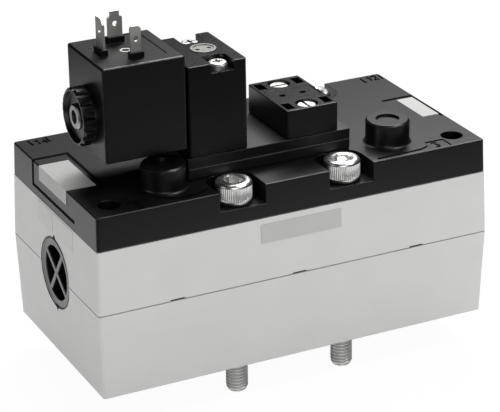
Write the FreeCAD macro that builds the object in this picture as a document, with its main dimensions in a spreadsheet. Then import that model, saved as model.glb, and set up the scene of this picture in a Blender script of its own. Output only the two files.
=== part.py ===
import FreeCAD, Part
import os
import re

import Sketcher
from FreeCAD import Rotation, Vector

# Solenoid-piloted 5/2 directional control valve on a flanged base.
# The frame: X runs along the body to the right, Y towards the rear, Z up.
# The origin is the centre of the base face, where the body meets its sub-base.

doc = FreeCAD.newDocument("directional_control_valve")
sheet = doc.addObject("Spreadsheet::Sheet", "dims")

# Driving dimensions in millimetres: alias, value, what it measures.
TABLE = [
    # Housing stack
    ("body_length", 150.0, "length of the cover's top face"),
    ("body_width", 77.5, "depth of the cover's top face"),
    ("body_corner", 1.0, "radius of the housings' upright corners"),
    ("draft_ratio", 0.031, "casting draft, growth of one side per height"),
    ("joint_step", 0.1, "ledge of the housing round the cover's foot"),
    ("lower_height", 31.7, "height of the lower housing"),
    ("housing_gasket_thick", 0.3, "gasket in the parting plane"),
    ("upper_height", 23.1, "height of the upper housing"),
    ("cover_gasket_thick", 0.4, "gasket under the cover"),
    ("cover_height", 12.0, "height of the cover"),
    ("gasket_inset", 0.7, "how far a gasket's edge lies inside the joint"),
    ("edge_round", 0.5, "rounding of the cover's top edge"),
    ("pry_slot_width", 5.5, "width of a slot for prising the housings apart"),
    ("pry_slot_height", 0.45, "height of a prising slot"),
    ("pry_slot_depth", 1.5, "depth of a prising slot"),
    ("pry_slot_pitch", 46.9, "distance between prising slots"),
    # Body screws
    ("screw_diameter", 8.0, "thread of the four body screws"),
    ("screw_shank", 7.2, "diameter of their rolled shank"),
    ("screw_hole", 9.0, "clearance hole for a body screw"),
    ("head_diameter", 13.2, "cylindrical screw head"),
    ("head_height", 8.0, "height of the screw head"),
    ("head_chamfer", 0.7, "bevel on the rim of the head"),
    ("head_collar", 0.6, "height of the washer face under the head"),
    ("hex_across", 6.0, "width of the hexagon socket"),
    ("hex_depth", 4.0, "depth of the hexagon socket"),
    ("screw_stickout", 12.7, "thread that stands out of the base"),
    ("thread_length", 12.7, "threaded length of a body screw"),
    ("thread_lead", 2.0, "bevel at the thread's end"),
    ("front_half_pitch", 21.1, "front screws from the middle"),
    ("rear_half_pitch", 42.8, "rear screws from the middle"),
    ("screw_row_inset", 7.3, "both screw rows from the cover's long edges"),
    ("pocket_half", 8.8, "half width of a head pocket"),
    ("pocket_back", 7.6, "back wall of a pocket from the screw axis"),
    ("pocket_depth", 7.0, "depth of a head pocket below the cover's top"),
    ("pocket_round", 5.5, "radius of the pocket's inner corners"),
    # Cover details
    ("boss_half_pitch", 43.8, "bosses from the middle"),
    ("boss_inset", 15.2, "bosses from the cover's front edge"),
    ("boss_radius", 7.9, "radius of a boss"),
    ("boss_height", 8.7, "height of a boss above the cover"),
    ("boss_recess_radius", 4.2, "radius of the recess in a boss"),
    ("boss_recess_depth", 1.0, "depth of that recess"),
    ("boss_bevel", 0.6, "bevel on a boss"),
    ("boss_flare", 1.0, "fillet round a boss's foot"),
    ("corner_hole_radius", 3.95, "pilot port near a front corner"),
    ("corner_hole_inset_x", 8.2, "its distance from the end of the cover"),
    ("corner_hole_inset_y", 8.9, "its distance from the front of the cover"),
    ("corner_hole_depth", 10.0, "its depth"),
    ("frame_line_width", 0.9, "width of the engraved label frame"),
    ("frame_line_depth", 0.5, "depth of the engraved label frame"),
    ("label_frame_reach", 13.0, "reach of a label frame from the end"),
    ("left_frame_rear", 19.4, "rear line of the left label frame"),
    ("left_frame_front", -19.2, "front end of the left label frame"),
    ("left_frame_short", -9.7, "front end of its inner line on the top"),
    ("right_frame_rear", 11.6, "rear line of the right label frame"),
    ("right_frame_front", -10.8, "front end of the right label frame"),
    ("label_frame_drop", 9.1, "label frame's lower line below the top"),
    # Main bore, sleeve and spool
    ("bore_radius", 13.05, "main bore through both housings"),
    ("stack_radius", 13.0, "outside of what the bore holds"),
    ("gallery_radius", 16.5, "ring gallery round the sleeve at each port"),
    ("gallery_width", 12.0, "width of a ring gallery"),
    ("port_pitch", 20.0, "distance between the five ports"),
    ("port_radius", 7.0, "radius of a port in the base"),
    ("pilot_port_radius", 2.5, "radius of a pilot port in the base"),
    ("pilot_port_reach", 57.0, "pilot ports from the middle"),
    ("pilot_port_depth", 12.0, "depth of a pilot port"),
    ("sleeve_bore", 8.0, "radius of the sleeve's bore"),
    ("sleeve_left_margin", 8.0, "sleeve beyond the last port, left"),
    ("sleeve_right_margin", 4.0, "sleeve beyond the last port, right"),
    ("window_length", 6.0, "sleeve window along the bore"),
    ("window_width", 7.0, "sleeve window across the bore"),
    ("running_gap", 0.05, "radial running clearance"),
    ("land_gap", 0.15, "spool land inside the sleeve's bore"),
    ("spool_travel", 8.0, "stroke of the main spool"),
    ("spool_neck", 4.5, "radius of the spool between its lands"),
    ("spool_seal_width", 1.6, "width of a spool seal"),
    ("spool_seal_depth", 1.9, "depth of a spool seal's groove"),
    ("spool_left", 50.0, "left end of the spool from the middle"),
    ("spigot_length", 4.0, "spring spigot on the spool's left end"),
    ("spigot_radius", 3.4, "radius of that spigot"),
    ("cylinder_bore", 10.5, "radius of the drive cylinder's bore"),
    ("cylinder_end", 4.0, "thickness of the drive cylinder's end"),
    ("piston_length", 8.0, "length of the drive piston"),
    ("piston_rest_gap", 0.5, "gap behind the piston at rest"),
    ("piston_stem", 4.0, "radius of the spool's stem in the piston"),
    ("insert_bore", 10.1, "inner radius of the vent insert"),
    ("insert_recess", 0.5, "insert and cylinder back from the end face"),
    ("web_thick", 1.6, "thickness of the vent insert's spokes"),
    ("web_depth", 5.0, "depth of the spokes along the bore"),
    ("web_turn", 36.0, "turn of the first spoke from level, degrees"),
    ("end_seal_width", 2.0, "width of the static end seals"),
    ("end_seal_depth", 1.6, "depth of their grooves"),
    ("spring_wire", 1.4, "wire of the return spring"),
    ("spring_radius", 5.2, "mean radius of the return spring"),
    ("spring_turns", 5.0, "turns of the return spring"),
    ("spring_steps", 14, "sections of a spring in one turn"),
    # Base gasket
    ("base_gasket_thick", 1.8, "rubber gasket let into the base"),
    ("base_gasket_margin", 5.0, "base gasket beyond its pilot ports"),
    ("base_gasket_width", 30.0, "width of the base gasket"),
    ("gasket_play", 0.15, "play between the gasket and its recess"),
    # Pilot deck
    ("deck_gasket", 0.4, "gaskets under plate, pilot and block"),
    ("plate_left", -34.6, "left end of the adapter plate"),
    ("plate_right", 28.7, "right end of the adapter plate"),
    ("plate_clear", 0.85, "plate behind the front screw heads"),
    ("plate_width", 32.0, "depth of the adapter plate"),
    ("plate_height", 7.3, "height of the adapter plate"),
    ("plate_step_height", 3.5, "height of the plate's wider foot"),
    ("plate_step", 0.4, "how far that foot stands out"),
    ("plate_corner", 1.2, "corner radius of the plate"),
    ("deck_hole", 1.7, "radius of the deck screw holes"),
    ("deck_tap", 1.5, "radius of their tapped holes in the cover"),
    ("deck_tap_depth", 9.0, "depth of those tapped holes"),
    # Pilot valve body
    ("pilot_left", -33.6, "left face of the pilot body"),
    ("pilot_right", -11.5, "right face of the pilot body"),
    ("pilot_width", 31.0, "depth of the pilot body"),
    ("pilot_height", 32.8, "height of the pilot body"),
    ("pilot_corner", 0.9, "edge radius of the pilot body"),
    ("pilot_screw_x", -20.6, "pilot screws and override from the middle"),
    ("pilot_screw_half", 11.3, "pilot screws from the pilot axis"),
    ("notch_half", 4.3, "half width of a screw notch"),
    ("notch_depth", 3.4, "depth of a screw notch"),
    ("notch_round", 2.0, "radius of a notch's inner corners"),
    ("pan_head_radius", 3.4, "head of a pilot screw"),
    ("pan_head_height", 2.5, "height of that head"),
    ("cross_width", 1.0, "width of the cross recess"),
    ("cross_length", 3.6, "length of the cross recess"),
    ("cross_depth", 1.5, "depth of the cross recess"),
    ("pilot_screw_length", 45.0, "length of a pilot screw"),
    ("knob_radius", 4.6, "manual override, a metal disc"),
    ("knob_height", 1.8, "height of the disc"),
    ("knob_proud", 0.3, "how far it stands out of the pilot body"),
    ("knob_stem", 2.5, "radius of the override's stem"),
    ("knob_stem_length", 8.0, "length of the stem"),
    ("knob_rim", 0.9, "width of the disc's raised rim"),
    ("knob_dish", 0.3, "depth of the dished face"),
    ("pin_hole_radius", 0.75, "two holes for a pin spanner"),
    ("pin_hole_half", 2.2, "pin holes from the disc's axis"),
    ("pin_hole_depth", 1.0, "depth of the pin holes"),
    # Solenoid
    ("coil_axis_z", 92.1, "axis of coil and armature above the base"),
    ("coil_left", -64.6, "left face of the coil"),
    ("coil_right", -34.4, "right face of the coil"),
    ("coil_width", 31.3, "depth of the coil"),
    ("coil_bottom", 79.1, "underside of the coil"),
    ("coil_top", 113.1, "top of the coil"),
    ("coil_corner", 0.8, "edge radius of the coil"),
    ("tube_radius", 4.5, "armature tube"),
    ("tube_wall", 0.5, "wall of the armature tube"),
    ("tube_play", 0.1, "play between the tube and the coil"),
    ("tube_depth", 9.0, "armature tube's seat in the pilot body"),
    ("tube_end", -69.3, "outer end of the fixed core"),
    ("core_face", -50.0, "inner face of the fixed core"),
    ("core_spigot", 6.0, "length of the core's spigot in the tube"),
    ("core_socket", 2.4, "radius of the socket in the core's end"),
    ("core_socket_depth", 3.0, "depth of that socket"),
    ("plunger_gap", 1.0, "gap between plunger and core at rest"),
    ("plunger_travel", 0.8, "stroke of the plunger"),
    ("plunger_right", -27.0, "seat end of the plunger at rest"),
    ("plunger_pocket", 2.4, "radius of the plunger's spring pocket"),
    ("plunger_pocket_depth", 9.0, "depth of that pocket"),
    ("plunger_spring_wire", 0.5, "wire of the plunger's spring"),
    ("plunger_spring_radius", 1.9, "mean radius of that spring"),
    ("plunger_spring_turns", 6.0, "turns of that spring"),
    ("pad_radius", 2.4, "rubber pad in the plunger's seat end"),
    ("pad_depth", 2.0, "depth of the pad"),
    ("pad_proud", 0.3, "how far the pad stands out"),
    ("seat_radius", 3.2, "brass seat in the pilot body"),
    ("seat_length", 5.0, "length of the seat"),
    ("seat_orifice", 0.7, "radius of the seat's orifice"),
    ("nut_radius", 10.3, "coil nut over its lobes"),
    ("nut_thick", 5.0, "thickness of the coil nut"),
    ("nut_flange", 0.8, "thickness of the nut's thin flange"),
    ("nut_lobes", 15, "grip lobes round the nut"),
    ("nut_scallop", 1.5, "radius of a grip scallop"),
    ("nut_dish", 1.5, "depth of the nut's dished face"),
    ("nut_dish_radius", 9.0, "radius of the dished face"),
    # Terminal base
    ("terminal_x", -49.5, "centre of the terminal base"),
    ("terminal_half", 9.0, "blades from the terminal centre"),
    ("blade_width", 5.4, "width of a line blade"),
    ("front_blade_width", 4.2, "width of the front blade"),
    ("front_blade_bevel", 0.5, "bevel along its right edge"),
    ("earth_width", 6.0, "width of the earth blade"),
    ("blade_thick", 0.8, "thickness of a blade"),
    ("blade_height", 11.0, "line blade above the coil"),
    ("earth_height", 12.7, "earth blade above the coil"),
    ("blade_tip", 2.4, "length of a blade's narrow tip"),
    ("blade_tip_inset", 1.05, "narrowing of the tip on each side"),
    ("tip_corner", 1.2, "cut-off corner of the other blades' tips"),
    ("blade_root", 5.0, "blade inside the coil"),
    ("blade_hole_radius", 0.9, "hole near a blade's tip"),
    ("blade_hole_drop", 4.4, "that hole below the tip"),
    ("seat_left", 11.6, "plug's gasket seat, left of the terminal centre"),
    ("seat_right", 10.8, "that seat to the right of the centre"),
    ("seat_front", 10.4, "that seat to the front of the centre"),
    ("seat_rear", 14.4, "that seat to the rear of the centre"),
    ("seat_cut", 9.2, "cut-off rear left corner of the seat"),
    ("seat_depth", 0.3, "depth of that seat"),
    ("blade_pad_width", 2.4, "raised pad round a blade, across it"),
    ("blade_pad_wall", 0.4, "that pad beyond the blade's edges"),
    ("blade_pad_height", 2.3, "height of a blade's pad"),
    ("insert_radius", 2.0, "threaded insert for the plug's screw"),
    ("insert_hole", 1.25, "its thread's core radius"),
    ("insert_depth", 6.0, "its depth"),
    # Blanking block
    ("block_left", 3.8, "left face of the blanking block"),
    ("block_right", 23.9, "right face of the blanking block"),
    ("block_width", 30.8, "depth of the blanking block"),
    ("block_height", 10.3, "height of the blanking block"),
    ("block_corner", 0.7, "edge radius of the block"),
    ("block_screw_half", 10.8, "block screws from the pilot axis"),
    ("cheese_radius", 3.4, "slotted screw head"),
    ("cheese_height", 2.8, "height of the slotted head"),
    ("cheese_slot", 1.0, "width of the screwdriver slot"),
    ("cheese_slot_depth", 1.1, "depth of the screwdriver slot"),
    ("cheese_sunk", 0.7, "head top below the block's top"),
    ("counterbore_radius", 4.0, "counterbore for the slotted head"),
    ("core_pocket_half_x", 1.55, "half width of a moulding core pocket"),
    ("core_pocket_half_y", 2.9, "half depth of a moulding core pocket"),
    ("core_pocket_reach", 7.4, "core pockets from the block's middle"),
    ("core_pocket_deep", 4.0, "depth of the core pockets"),
    ("block_vent_radius", 1.2, "two small round holes in the block"),
    ("block_vent_half", 4.0, "those holes from the block's middle"),
    ("block_vent_depth", 5.0, "their depth"),
    ("block_band_half", 5.0, "half depth of the block's middle band"),
    ("block_band_step", 0.25, "how far the middle band is set down"),
    ("block_screw_length", 18.0, "length of a block screw"),
    # Labels
    ("label_thick", 0.2, "thickness of the labels"),
    ("left_label_inner", 10.9, "left label from the end of the cover"),
    ("left_label_rear", 13.1, "rear edge of the left label"),
    ("left_label_front", -12.1, "front edge of the left label"),
    ("left_label_drop", 5.2, "left label over the end face"),
    ("right_label_inner", 8.3, "right label's inner edge from the end"),
    ("right_label_outer", 1.65, "right label's outer edge from the end"),
    ("right_label_rear", 9.8, "rear edge of the right label"),
    ("right_label_front", -9.6, "front edge of the right label"),
    ("rating_left", -14.7, "left end of the front label"),
    ("rating_right", 16.6, "right end of the front label"),
    ("rating_top", 52.8, "top of the front label above the base"),
    ("rating_height", 6.75, "height of the front label"),
]

SIZES = {}
for row, (alias, number, note) in enumerate(TABLE, start=1):
    sheet.set("A%d" % row, note)
    sheet.set("B%d" % row, str(number))
    sheet.setAlias("B%d" % row, alias)
    SIZES[alias] = number
doc.recompute()

# Places worked out from the driving dimensions.
DERIVED = {
    "upper_bottom": "lower_height + housing_gasket_thick",
    "upper_top": "upper_bottom + upper_height",
    "cover_bottom": "upper_top + cover_gasket_thick",
    "cover_top": "cover_bottom + cover_height",
    "bore_z": "lower_height + housing_gasket_thick / 2",
    "cover_spread": "cover_height * draft_ratio",
    "housing_spread": "upper_height * draft_ratio",
    "parting_length": "body_length + 2 * (cover_spread + joint_step + housing_spread)",
    "parting_width": "body_width + 2 * (cover_spread + joint_step + housing_spread)",
    "lower_spread": "lower_height * draft_ratio",
    "stack_end": "parting_length / 2 - insert_recess",
    "screw_row": "body_width / 2 - screw_row_inset",
    "boss_row": "boss_inset - body_width / 2",
    "head_seat": "cover_top - pocket_depth",
    "base_gasket_half": "pilot_port_reach + base_gasket_margin",
    "sleeve_left": "0 - 2.5 * port_pitch - sleeve_left_margin",
    "sleeve_right": "2.5 * port_pitch + sleeve_right_margin",
    "piston_right": "stack_end - cylinder_end - piston_rest_gap",
    "piston_left": "piston_right - piston_length",
    "land_radius": "sleeve_bore - land_gap",
    "seal_radius": "sleeve_bore - running_gap",
    "seal_floor": "land_radius - spool_seal_depth",
    "blocking": "window_length / 2 + spool_seal_width / 2 + 0.2",
    "plate_bottom": "cover_top + deck_gasket",
    "plate_top": "plate_bottom + plate_height",
    "deck_seat": "plate_top + deck_gasket",
    "pilot_top": "deck_seat + pilot_height",
    "block_top": "deck_seat + block_height",
    "block_middle": "(block_left + block_right) / 2",
    "plate_front": "head_diameter / 2 + plate_clear - screw_row",
    "plate_rear": "plate_front + plate_width",
    "pilot_axis_y": "plate_front + plate_width / 2",
    "coil_front": "pilot_axis_y - coil_width / 2",
    "coil_rear": "pilot_axis_y + coil_width / 2",
    "terminal_seat": "coil_top - seat_depth",
    "notch_floor": "pilot_top - notch_depth",
    "cheese_floor": "block_top - cheese_sunk - cheese_height",
    "plunger_left": "core_face + plunger_gap",
    "plunger_radius": "tube_radius - tube_wall - running_gap",
    "core_root": "core_face - core_spigot",
    "seat_face": "plunger_right + pad_proud",
}

WORD = re.compile(r"[A-Za-z_][A-Za-z_0-9]*")


def formula(text):
    """A formula in plain size names as an expression on the sheet's cells."""
    def swap(match):
        word = match.group(0)
        if word in DERIVED:
            return "(" + formula(DERIVED[word]) + ")"
        return "dims." + word if word in SIZES else word
    return WORD.sub(swap, str(text))


def size(text):
    """The number that a formula gives with the present sizes."""
    def swap(match):
        word = match.group(0)
        if word in DERIVED:
            return "(" + spelled(DERIVED[word]) + ")"
        return "(%r)" % float(SIZES[word]) if word in SIZES else word

    def spelled(part):
        return WORD.sub(swap, str(part))
    return FreeCAD.Units.Quantity(spelled(text)).Value


def bind(thing, prop, text):
    """Tie one property to the sheet."""
    thing.setExpression(prop, formula(text))


def new_body(label):
    body = doc.addObject("PartDesign::Body", label)
    body.Label = label
    return body


def sketch(body, name, plane, loops, lift="0", shift=("0", "0")):
    """A fully placed sketch: polygons as point lists, circles as (x, y, r)."""
    plan = body.newObject("Sketcher::SketchObject", name)
    support = [f for f in body.Origin.OriginFeatures if f.Role == plane][0]
    plan.AttachmentSupport = [(support, "")]
    plan.MapMode = "FlatFace"
    bind(plan, "AttachmentOffset.Base.x", shift[0])
    bind(plan, "AttachmentOffset.Base.y", shift[1])
    bind(plan, "AttachmentOffset.Base.z", lift)
    for loop in loops:
        if isinstance(loop, tuple):
            draw_circle(plan, *loop)
        else:
            draw_polygon(plan, loop)
    return plan


def pin_point(plan, line, end, x, y):
    for kind, text in (("DistanceX", x), ("DistanceY", y)):
        rule = Sketcher.Constraint(kind, -1, 1, line, end, size(text))
        number = plan.addConstraint(rule)
        bind(plan, "Constraints[%d]" % number, text)


def draw_circle(plan, x, y, radius):
    centre = Vector(size(x), size(y), 0)
    circle = plan.addGeometry(Part.Circle(centre, Vector(0, 0, 1), size(radius)))
    pin_point(plan, circle, 3, x, y)
    number = plan.addConstraint(Sketcher.Constraint("Radius", circle, size(radius)))
    bind(plan, "Constraints[%d]" % number, radius)


def draw_polygon(plan, points):
    spots = [Vector(size(x), size(y), 0) for x, y in points]
    lines = []
    for here, there in zip(spots, spots[1:] + spots[:1]):
        lines.append(plan.addGeometry(Part.LineSegment(here, there)))
    for line, following in zip(lines, lines[1:] + lines[:1]):
        plan.addConstraint(Sketcher.Constraint("Coincident", line, 2, following, 1))
    for line, (x, y) in zip(lines, points):
        pin_point(plan, line, 1, x, y)


def rectangle(left, right, low, high):
    return [(left, low), (right, low), (right, high), (left, high)]


def centred(length, width, x="0", y="0"):
    half_x, half_y = "(%s) / 2" % length, "(%s) / 2" % width
    return rectangle("%s - %s" % (x, half_x), "%s + %s" % (x, half_x),
                     "%s - %s" % (y, half_y), "%s + %s" % (y, half_y))


def pad(body, plan, length, spread=None, midplane=False, back=False):
    """Add material over the sketch; spread is the draft's growth per height."""
    feature = body.newObject("PartDesign::Pad", plan.Name + "_pad")
    feature.Profile = plan
    bind(feature, "Length", length)
    feature.Midplane = midplane
    feature.Reversed = back
    if spread:
        bind(feature, "TaperAngle", "atan(%s)" % spread)
    plan.Visibility = False
    return feature


def cut(body, plan, depth, up=False, through=False):
    """Remove material below the sketch, or above it with up."""
    doc.recompute()
    before = body.Shape.Volume
    feature = body.newObject("PartDesign::Pocket", plan.Name + "_cut")
    feature.Profile = plan
    feature.Reversed = up
    if through:
        feature.Type = "ThroughAll"
    else:
        bind(feature, "Length", depth)
    doc.recompute()
    if not body.Shape.Volume < before:
        raise RuntimeError(plan.Name + " cuts nothing")
    return feature


def turn(body, plan, axis="H_Axis"):
    feature = body.newObject("PartDesign::Revolution", plan.Name + "_turned")
    feature.Profile = plan
    feature.ReferenceAxis = (plan, [axis])
    feature.Angle = 360
    return feature


def bore_out(body, plan, axis="H_Axis"):
    doc.recompute()
    before = body.Shape.Volume
    feature = body.newObject("PartDesign::Groove", plan.Name + "_bored")
    feature.Profile = plan
    feature.ReferenceAxis = (plan, [axis])
    feature.Angle = 360
    doc.recompute()
    if not body.Shape.Volume < before:
        raise RuntimeError(plan.Name + " bores nothing")
    return feature


def edges_where(shape, test):
    """Names of the edges whose two ends pass the test."""
    found = []
    for number, edge in enumerate(shape.Edges, start=1):
        ends = [vertex.Point for vertex in edge.Vertexes]
        if len(ends) == 2 and test(ends[0], ends[1]):
            found.append("Edge%d" % number)
    return found


def upright(low, high):
    """Edges that climb from low to high with little lean."""
    def test(a, b):
        lean = abs(a.x - b.x) + abs(a.y - b.y)
        lifts = sorted((a.z, b.z))
        climb = lifts[1] - lifts[0]
        return climb > 0.5 and lean < 0.2 * climb and lifts[0] > low - 0.01 and lifts[1] < high + 0.01
    return test


def at_height(level):
    def test(a, b):
        return abs(a.z - level) < 0.01 and abs(b.z - level) < 0.01
    return test


def round_edges(body, test, radius, kind="Fillet"):
    doc.recompute()
    base = body.Tip
    names = edges_where(base.Shape, test)
    if not names:
        raise RuntimeError(body.Label + " has no edge to round")
    feature = body.newObject("PartDesign::" + kind, body.Label + "_" + kind.lower())
    feature.Base = (base, names)
    bind(feature, "Radius" if kind == "Fillet" else "Size", radius)
    return feature


def turned_along_x(label, points, y, z, x="0"):
    """A part turned about a line along X: points are (x, radius)."""
    body = new_body(label)
    plan = sketch(body, label + "_profile", "XZ_Plane", [points],
                  lift="0 - (%s)" % y, shift=("0", z))
    turn(body, plan)
    bind(body, "Placement.Base.x", x)
    return body


def turned_along_z(label, points, x, y):
    """A part turned about an upright line: points are (radius, z)."""
    body = new_body(label)
    plan = sketch(body, label + "_profile", "XZ_Plane", [points],
                  lift="0 - (%s)" % y, shift=(x, "0"))
    turn(body, plan, "V_Axis")
    return body


def group(label, members):
    """Identical pieces that share one node as separate solids."""
    bundle = doc.addObject("Part::Compound", label)
    bundle.Label = label
    bundle.Links = members
    return bundle


PIECES = []


def keep(piece):
    PIECES.append(piece)
    return piece


SCREW_SPOTS = [
    ("0 - front_half_pitch", "0 - screw_row"),
    ("front_half_pitch", "0 - screw_row"),
    ("0 - rear_half_pitch", "screw_row"),
    ("rear_half_pitch", "screw_row"),
]
SCREW_HOLES = [(x, y, "screw_hole / 2") for x, y in SCREW_SPOTS]
PILOT_SPOTS = [("pilot_screw_x", "pilot_axis_y - pilot_screw_half"),
               ("pilot_screw_x", "pilot_axis_y + pilot_screw_half")]
BLOCK_SPOTS = [("block_middle", "pilot_axis_y - block_screw_half"),
               ("block_middle", "pilot_axis_y + block_screw_half")]
DECK_HOLES = [(x, y, "deck_hole") for x, y in PILOT_SPOTS + BLOCK_SPOTS]


def main_bore(body):
    """The long bore with its five ring galleries, cut in either housing."""
    reach = "parting_length / 2 + 5"
    points = [("0 - (%s)" % reach, "0"), ("0 - (%s)" % reach, "bore_radius")]
    for step in (-2, -1, 0, 1, 2):
        middle = "%d * port_pitch" % step
        left = "%s - gallery_width / 2" % middle
        right = "%s + gallery_width / 2" % middle
        points += [(left, "bore_radius"), (left, "gallery_radius"),
                   (right, "gallery_radius"), (right, "bore_radius")]
    points += [(reach, "bore_radius"), (reach, "0")]
    plan = sketch(body, body.Label + "_bore", "XZ_Plane", [points], shift=("0", "bore_z"))
    bore_out(body, plan)


def key_notch(body, side):
    """The small notch over or under the vent insert, in the left end face."""
    tip = "bore_z + %d * (bore_radius + 1.6)" % side
    root = "bore_z + %d * (bore_radius - 1)" % side
    points = [("0 - 1.9", root), ("1.9", root), ("0", tip)]
    if side < 0:
        points.reverse()
    plan = sketch(body, body.Label + "_notch", "YZ_Plane", [points],
                  lift="0 - parting_length / 2 - 1")
    cut(body, plan, "4", up=True)


def lower_housing():
    body = new_body("lower_housing")
    foot_length = "parting_length - 2 * lower_spread"
    foot_width = "parting_width - 2 * lower_spread"
    plan = sketch(body, "lower_foot", "XY_Plane", [centred(foot_length, foot_width)])
    pad(body, plan, "lower_height", spread="draft_ratio")
    round_edges(body, upright(0, size("lower_height")), "body_corner")
    main_bore(body)
    key_notch(body, -1)
    port = sketch(body, "first_port", "XY_Plane", [("0 - 2 * port_pitch", "0", "port_radius")])
    hole = cut(body, port, "bore_z - gallery_radius + 2", up=True)
    row = body.newObject("PartDesign::LinearPattern", "port_row")
    row.Originals = [hole]
    row.Direction = ([f for f in body.Origin.OriginFeatures if f.Role == "X_Axis"][0], [""])
    bind(row, "Length", "4 * port_pitch")
    row.Occurrences = 5
    body.Tip = row
    doc.recompute()
    pilots = [("0 - pilot_port_reach", "0", "pilot_port_radius"),
              ("pilot_port_reach", "0", "pilot_port_radius")]
    cut(body, sketch(body, "pilot_ports", "XY_Plane", pilots), "pilot_port_depth", up=True)
    holes = sketch(body, "lower_screw_holes", "XY_Plane", SCREW_HOLES)
    cut(body, holes, "lower_height", up=True, through=True)
    recess = gasket_outline("base_gasket_half + gasket_play", "base_gasket_width + 2 * gasket_play")
    plan = sketch(body, "base_recess", "XY_Plane", [recess])
    cut(body, plan, "base_gasket_thick", up=True)
    return keep(body)


def gasket_outline(half, width):
    """An oblong with cut-off corners, for the base gasket and its recess."""
    cut_off = "4"
    inner = "%s - %s" % (half, cut_off)
    edge = "(%s) / 2" % width
    shoulder = "(%s) / 2 - %s" % (width, cut_off)
    return [("0 - (%s)" % inner, "0 - " + edge), (inner, "0 - " + edge),
            (half, "0 - (%s)" % shoulder), (half, shoulder),
            (inner, edge), ("0 - (%s)" % inner, edge),
            ("0 - (%s)" % half, shoulder), ("0 - (%s)" % half, "0 - (%s)" % shoulder)]


def base_gasket():
    body = new_body("base_gasket")
    ports = [("%d * port_pitch" % step, "0", "port_radius") for step in (-2, -1, 0, 1, 2)]
    ports += [("0 - pilot_port_reach", "0", "pilot_port_radius"),
              ("pilot_port_reach", "0", "pilot_port_radius")]
    outline = gasket_outline("base_gasket_half", "base_gasket_width")
    pad(body, sketch(body, "base_gasket_plan", "XY_Plane", [outline] + ports), "base_gasket_thick")
    return keep(body)


def housing_gasket():
    """Two strips, because the bore passes between them."""
    reach = "parting_length / 2 - gasket_inset"
    inner = "gallery_radius + 1"
    outer = "parting_width / 2 - gasket_inset"
    front = rectangle("0 - (%s)" % reach, reach, "0 - (%s)" % outer, "0 - (%s)" % inner)
    rear = rectangle("0 - (%s)" % reach, reach, inner, outer)
    parts = []
    for name, strip, holes in (("front", front, SCREW_HOLES[:2]), ("rear", rear, SCREW_HOLES[2:])):
        half = new_body("housing_gasket_" + name)
        plan = sketch(half, name + "_strip", "XY_Plane", [strip] + holes, lift="lower_height")
        pad(half, plan, "housing_gasket_thick")
        parts.append(half)
    return keep(group("housing_gasket", parts))


def upper_housing():
    body = new_body("upper_housing")
    plan = sketch(body, "upper_foot", "XY_Plane", [centred("parting_length", "parting_width")],
                  lift="upper_bottom")
    pad(body, plan, "upper_height", spread="0 - draft_ratio")
    round_edges(body, upright(size("upper_bottom"), size("upper_top")), "body_corner")
    main_bore(body)
    key_notch(body, 1)
    holes = sketch(body, "upper_screw_holes", "XY_Plane", SCREW_HOLES, lift="upper_bottom")
    cut(body, holes, "upper_height", up=True, through=True)
    slots = []
    for step in (-1, 0, 1):
        middle = "%d * pry_slot_pitch" % step
        slots.append(rectangle(middle + " - pry_slot_width / 2", middle + " + pry_slot_width / 2",
                               "0 - parting_width / 2 - 1", "0 - parting_width / 2 + pry_slot_depth"))
    plan = sketch(body, "pry_slots", "XY_Plane", slots, lift="upper_bottom")
    cut(body, plan, "pry_slot_height", up=True)
    return keep(body)


def cover_gasket():
    body = new_body("cover_gasket")
    length = "body_length + 2 * cover_spread - 2 * gasket_inset"
    width = "body_width + 2 * cover_spread - 2 * gasket_inset"
    plan = sketch(body, "cover_gasket_plan", "XY_Plane", [centred(length, width)] + SCREW_HOLES,
                  lift="upper_top")
    pad(body, plan, "cover_gasket_thick")
    return keep(body)


def head_pocket(body, name, x, side):
    """A pocket for a screw head, open to the front or the rear of the cover."""
    back = "%d * (screw_row - pocket_back)" % side
    edge = "%d * (body_width / 2 + 5)" % side
    low, high = (edge, back) if side < 0 else (back, edge)
    outline = rectangle("%s - pocket_half" % x, "%s + pocket_half" % x, low, high)
    plan = sketch(body, name, "XY_Plane", [outline], lift="cover_top")
    cut(body, plan, "pocket_depth")
    inner = size(back)

    def corner(a, b):
        steep = abs(a.x - b.x) + abs(a.y - b.y) < 0.01
        return steep and abs(a.y - inner) < 0.01 and abs(abs(a.x - size(x)) - size("pocket_half")) < 0.01
    round_edges(body, corner, "pocket_round")


def label_frame(body, name, side, rear, front):
    """Engraved lines that frame a label over one end of the cover."""
    inner = "%d * (body_length / 2 - label_frame_reach)" % side
    outer = "%d * (body_length / 2 + 3)" % side
    half = "frame_line_width / 2"
    left, right = (outer, inner + " + " + half) if side < 0 else (inner + " - " + half, outer)
    along = rectangle(left, right, "%s - %s" % (rear, half), "%s + %s" % (rear, half))
    plan = sketch(body, name + "_cross_line", "XY_Plane", [along], lift="cover_top")
    cut(body, plan, "frame_line_depth")
    if side < 0:
        down = rectangle("%s - %s" % (inner, half), "%s + %s" % (inner, half),
                         "left_frame_short", rear)
        plan = sketch(body, name + "_long_line", "XY_Plane", [down], lift="cover_top")
        cut(body, plan, "frame_line_depth")
    low = "cover_top - label_frame_drop"
    post = rectangle("%s - %s" % (rear, half), "%s + %s" % (rear, half),
                     low + " - " + half, "cover_top + 1")
    foot = rectangle(front, rear, low + " - " + half, low + " + " + half)
    face = "%d * (body_length / 2 + cover_spread)" % side
    for part, outline in (("_post", post), ("_foot", foot)):
        lift = "%s - %d * (frame_line_depth + 0.1)" % (face, side)
        plan = sketch(body, name + part, "YZ_Plane", [outline], lift=lift)
        cut(body, plan, "3", up=side > 0)


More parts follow.
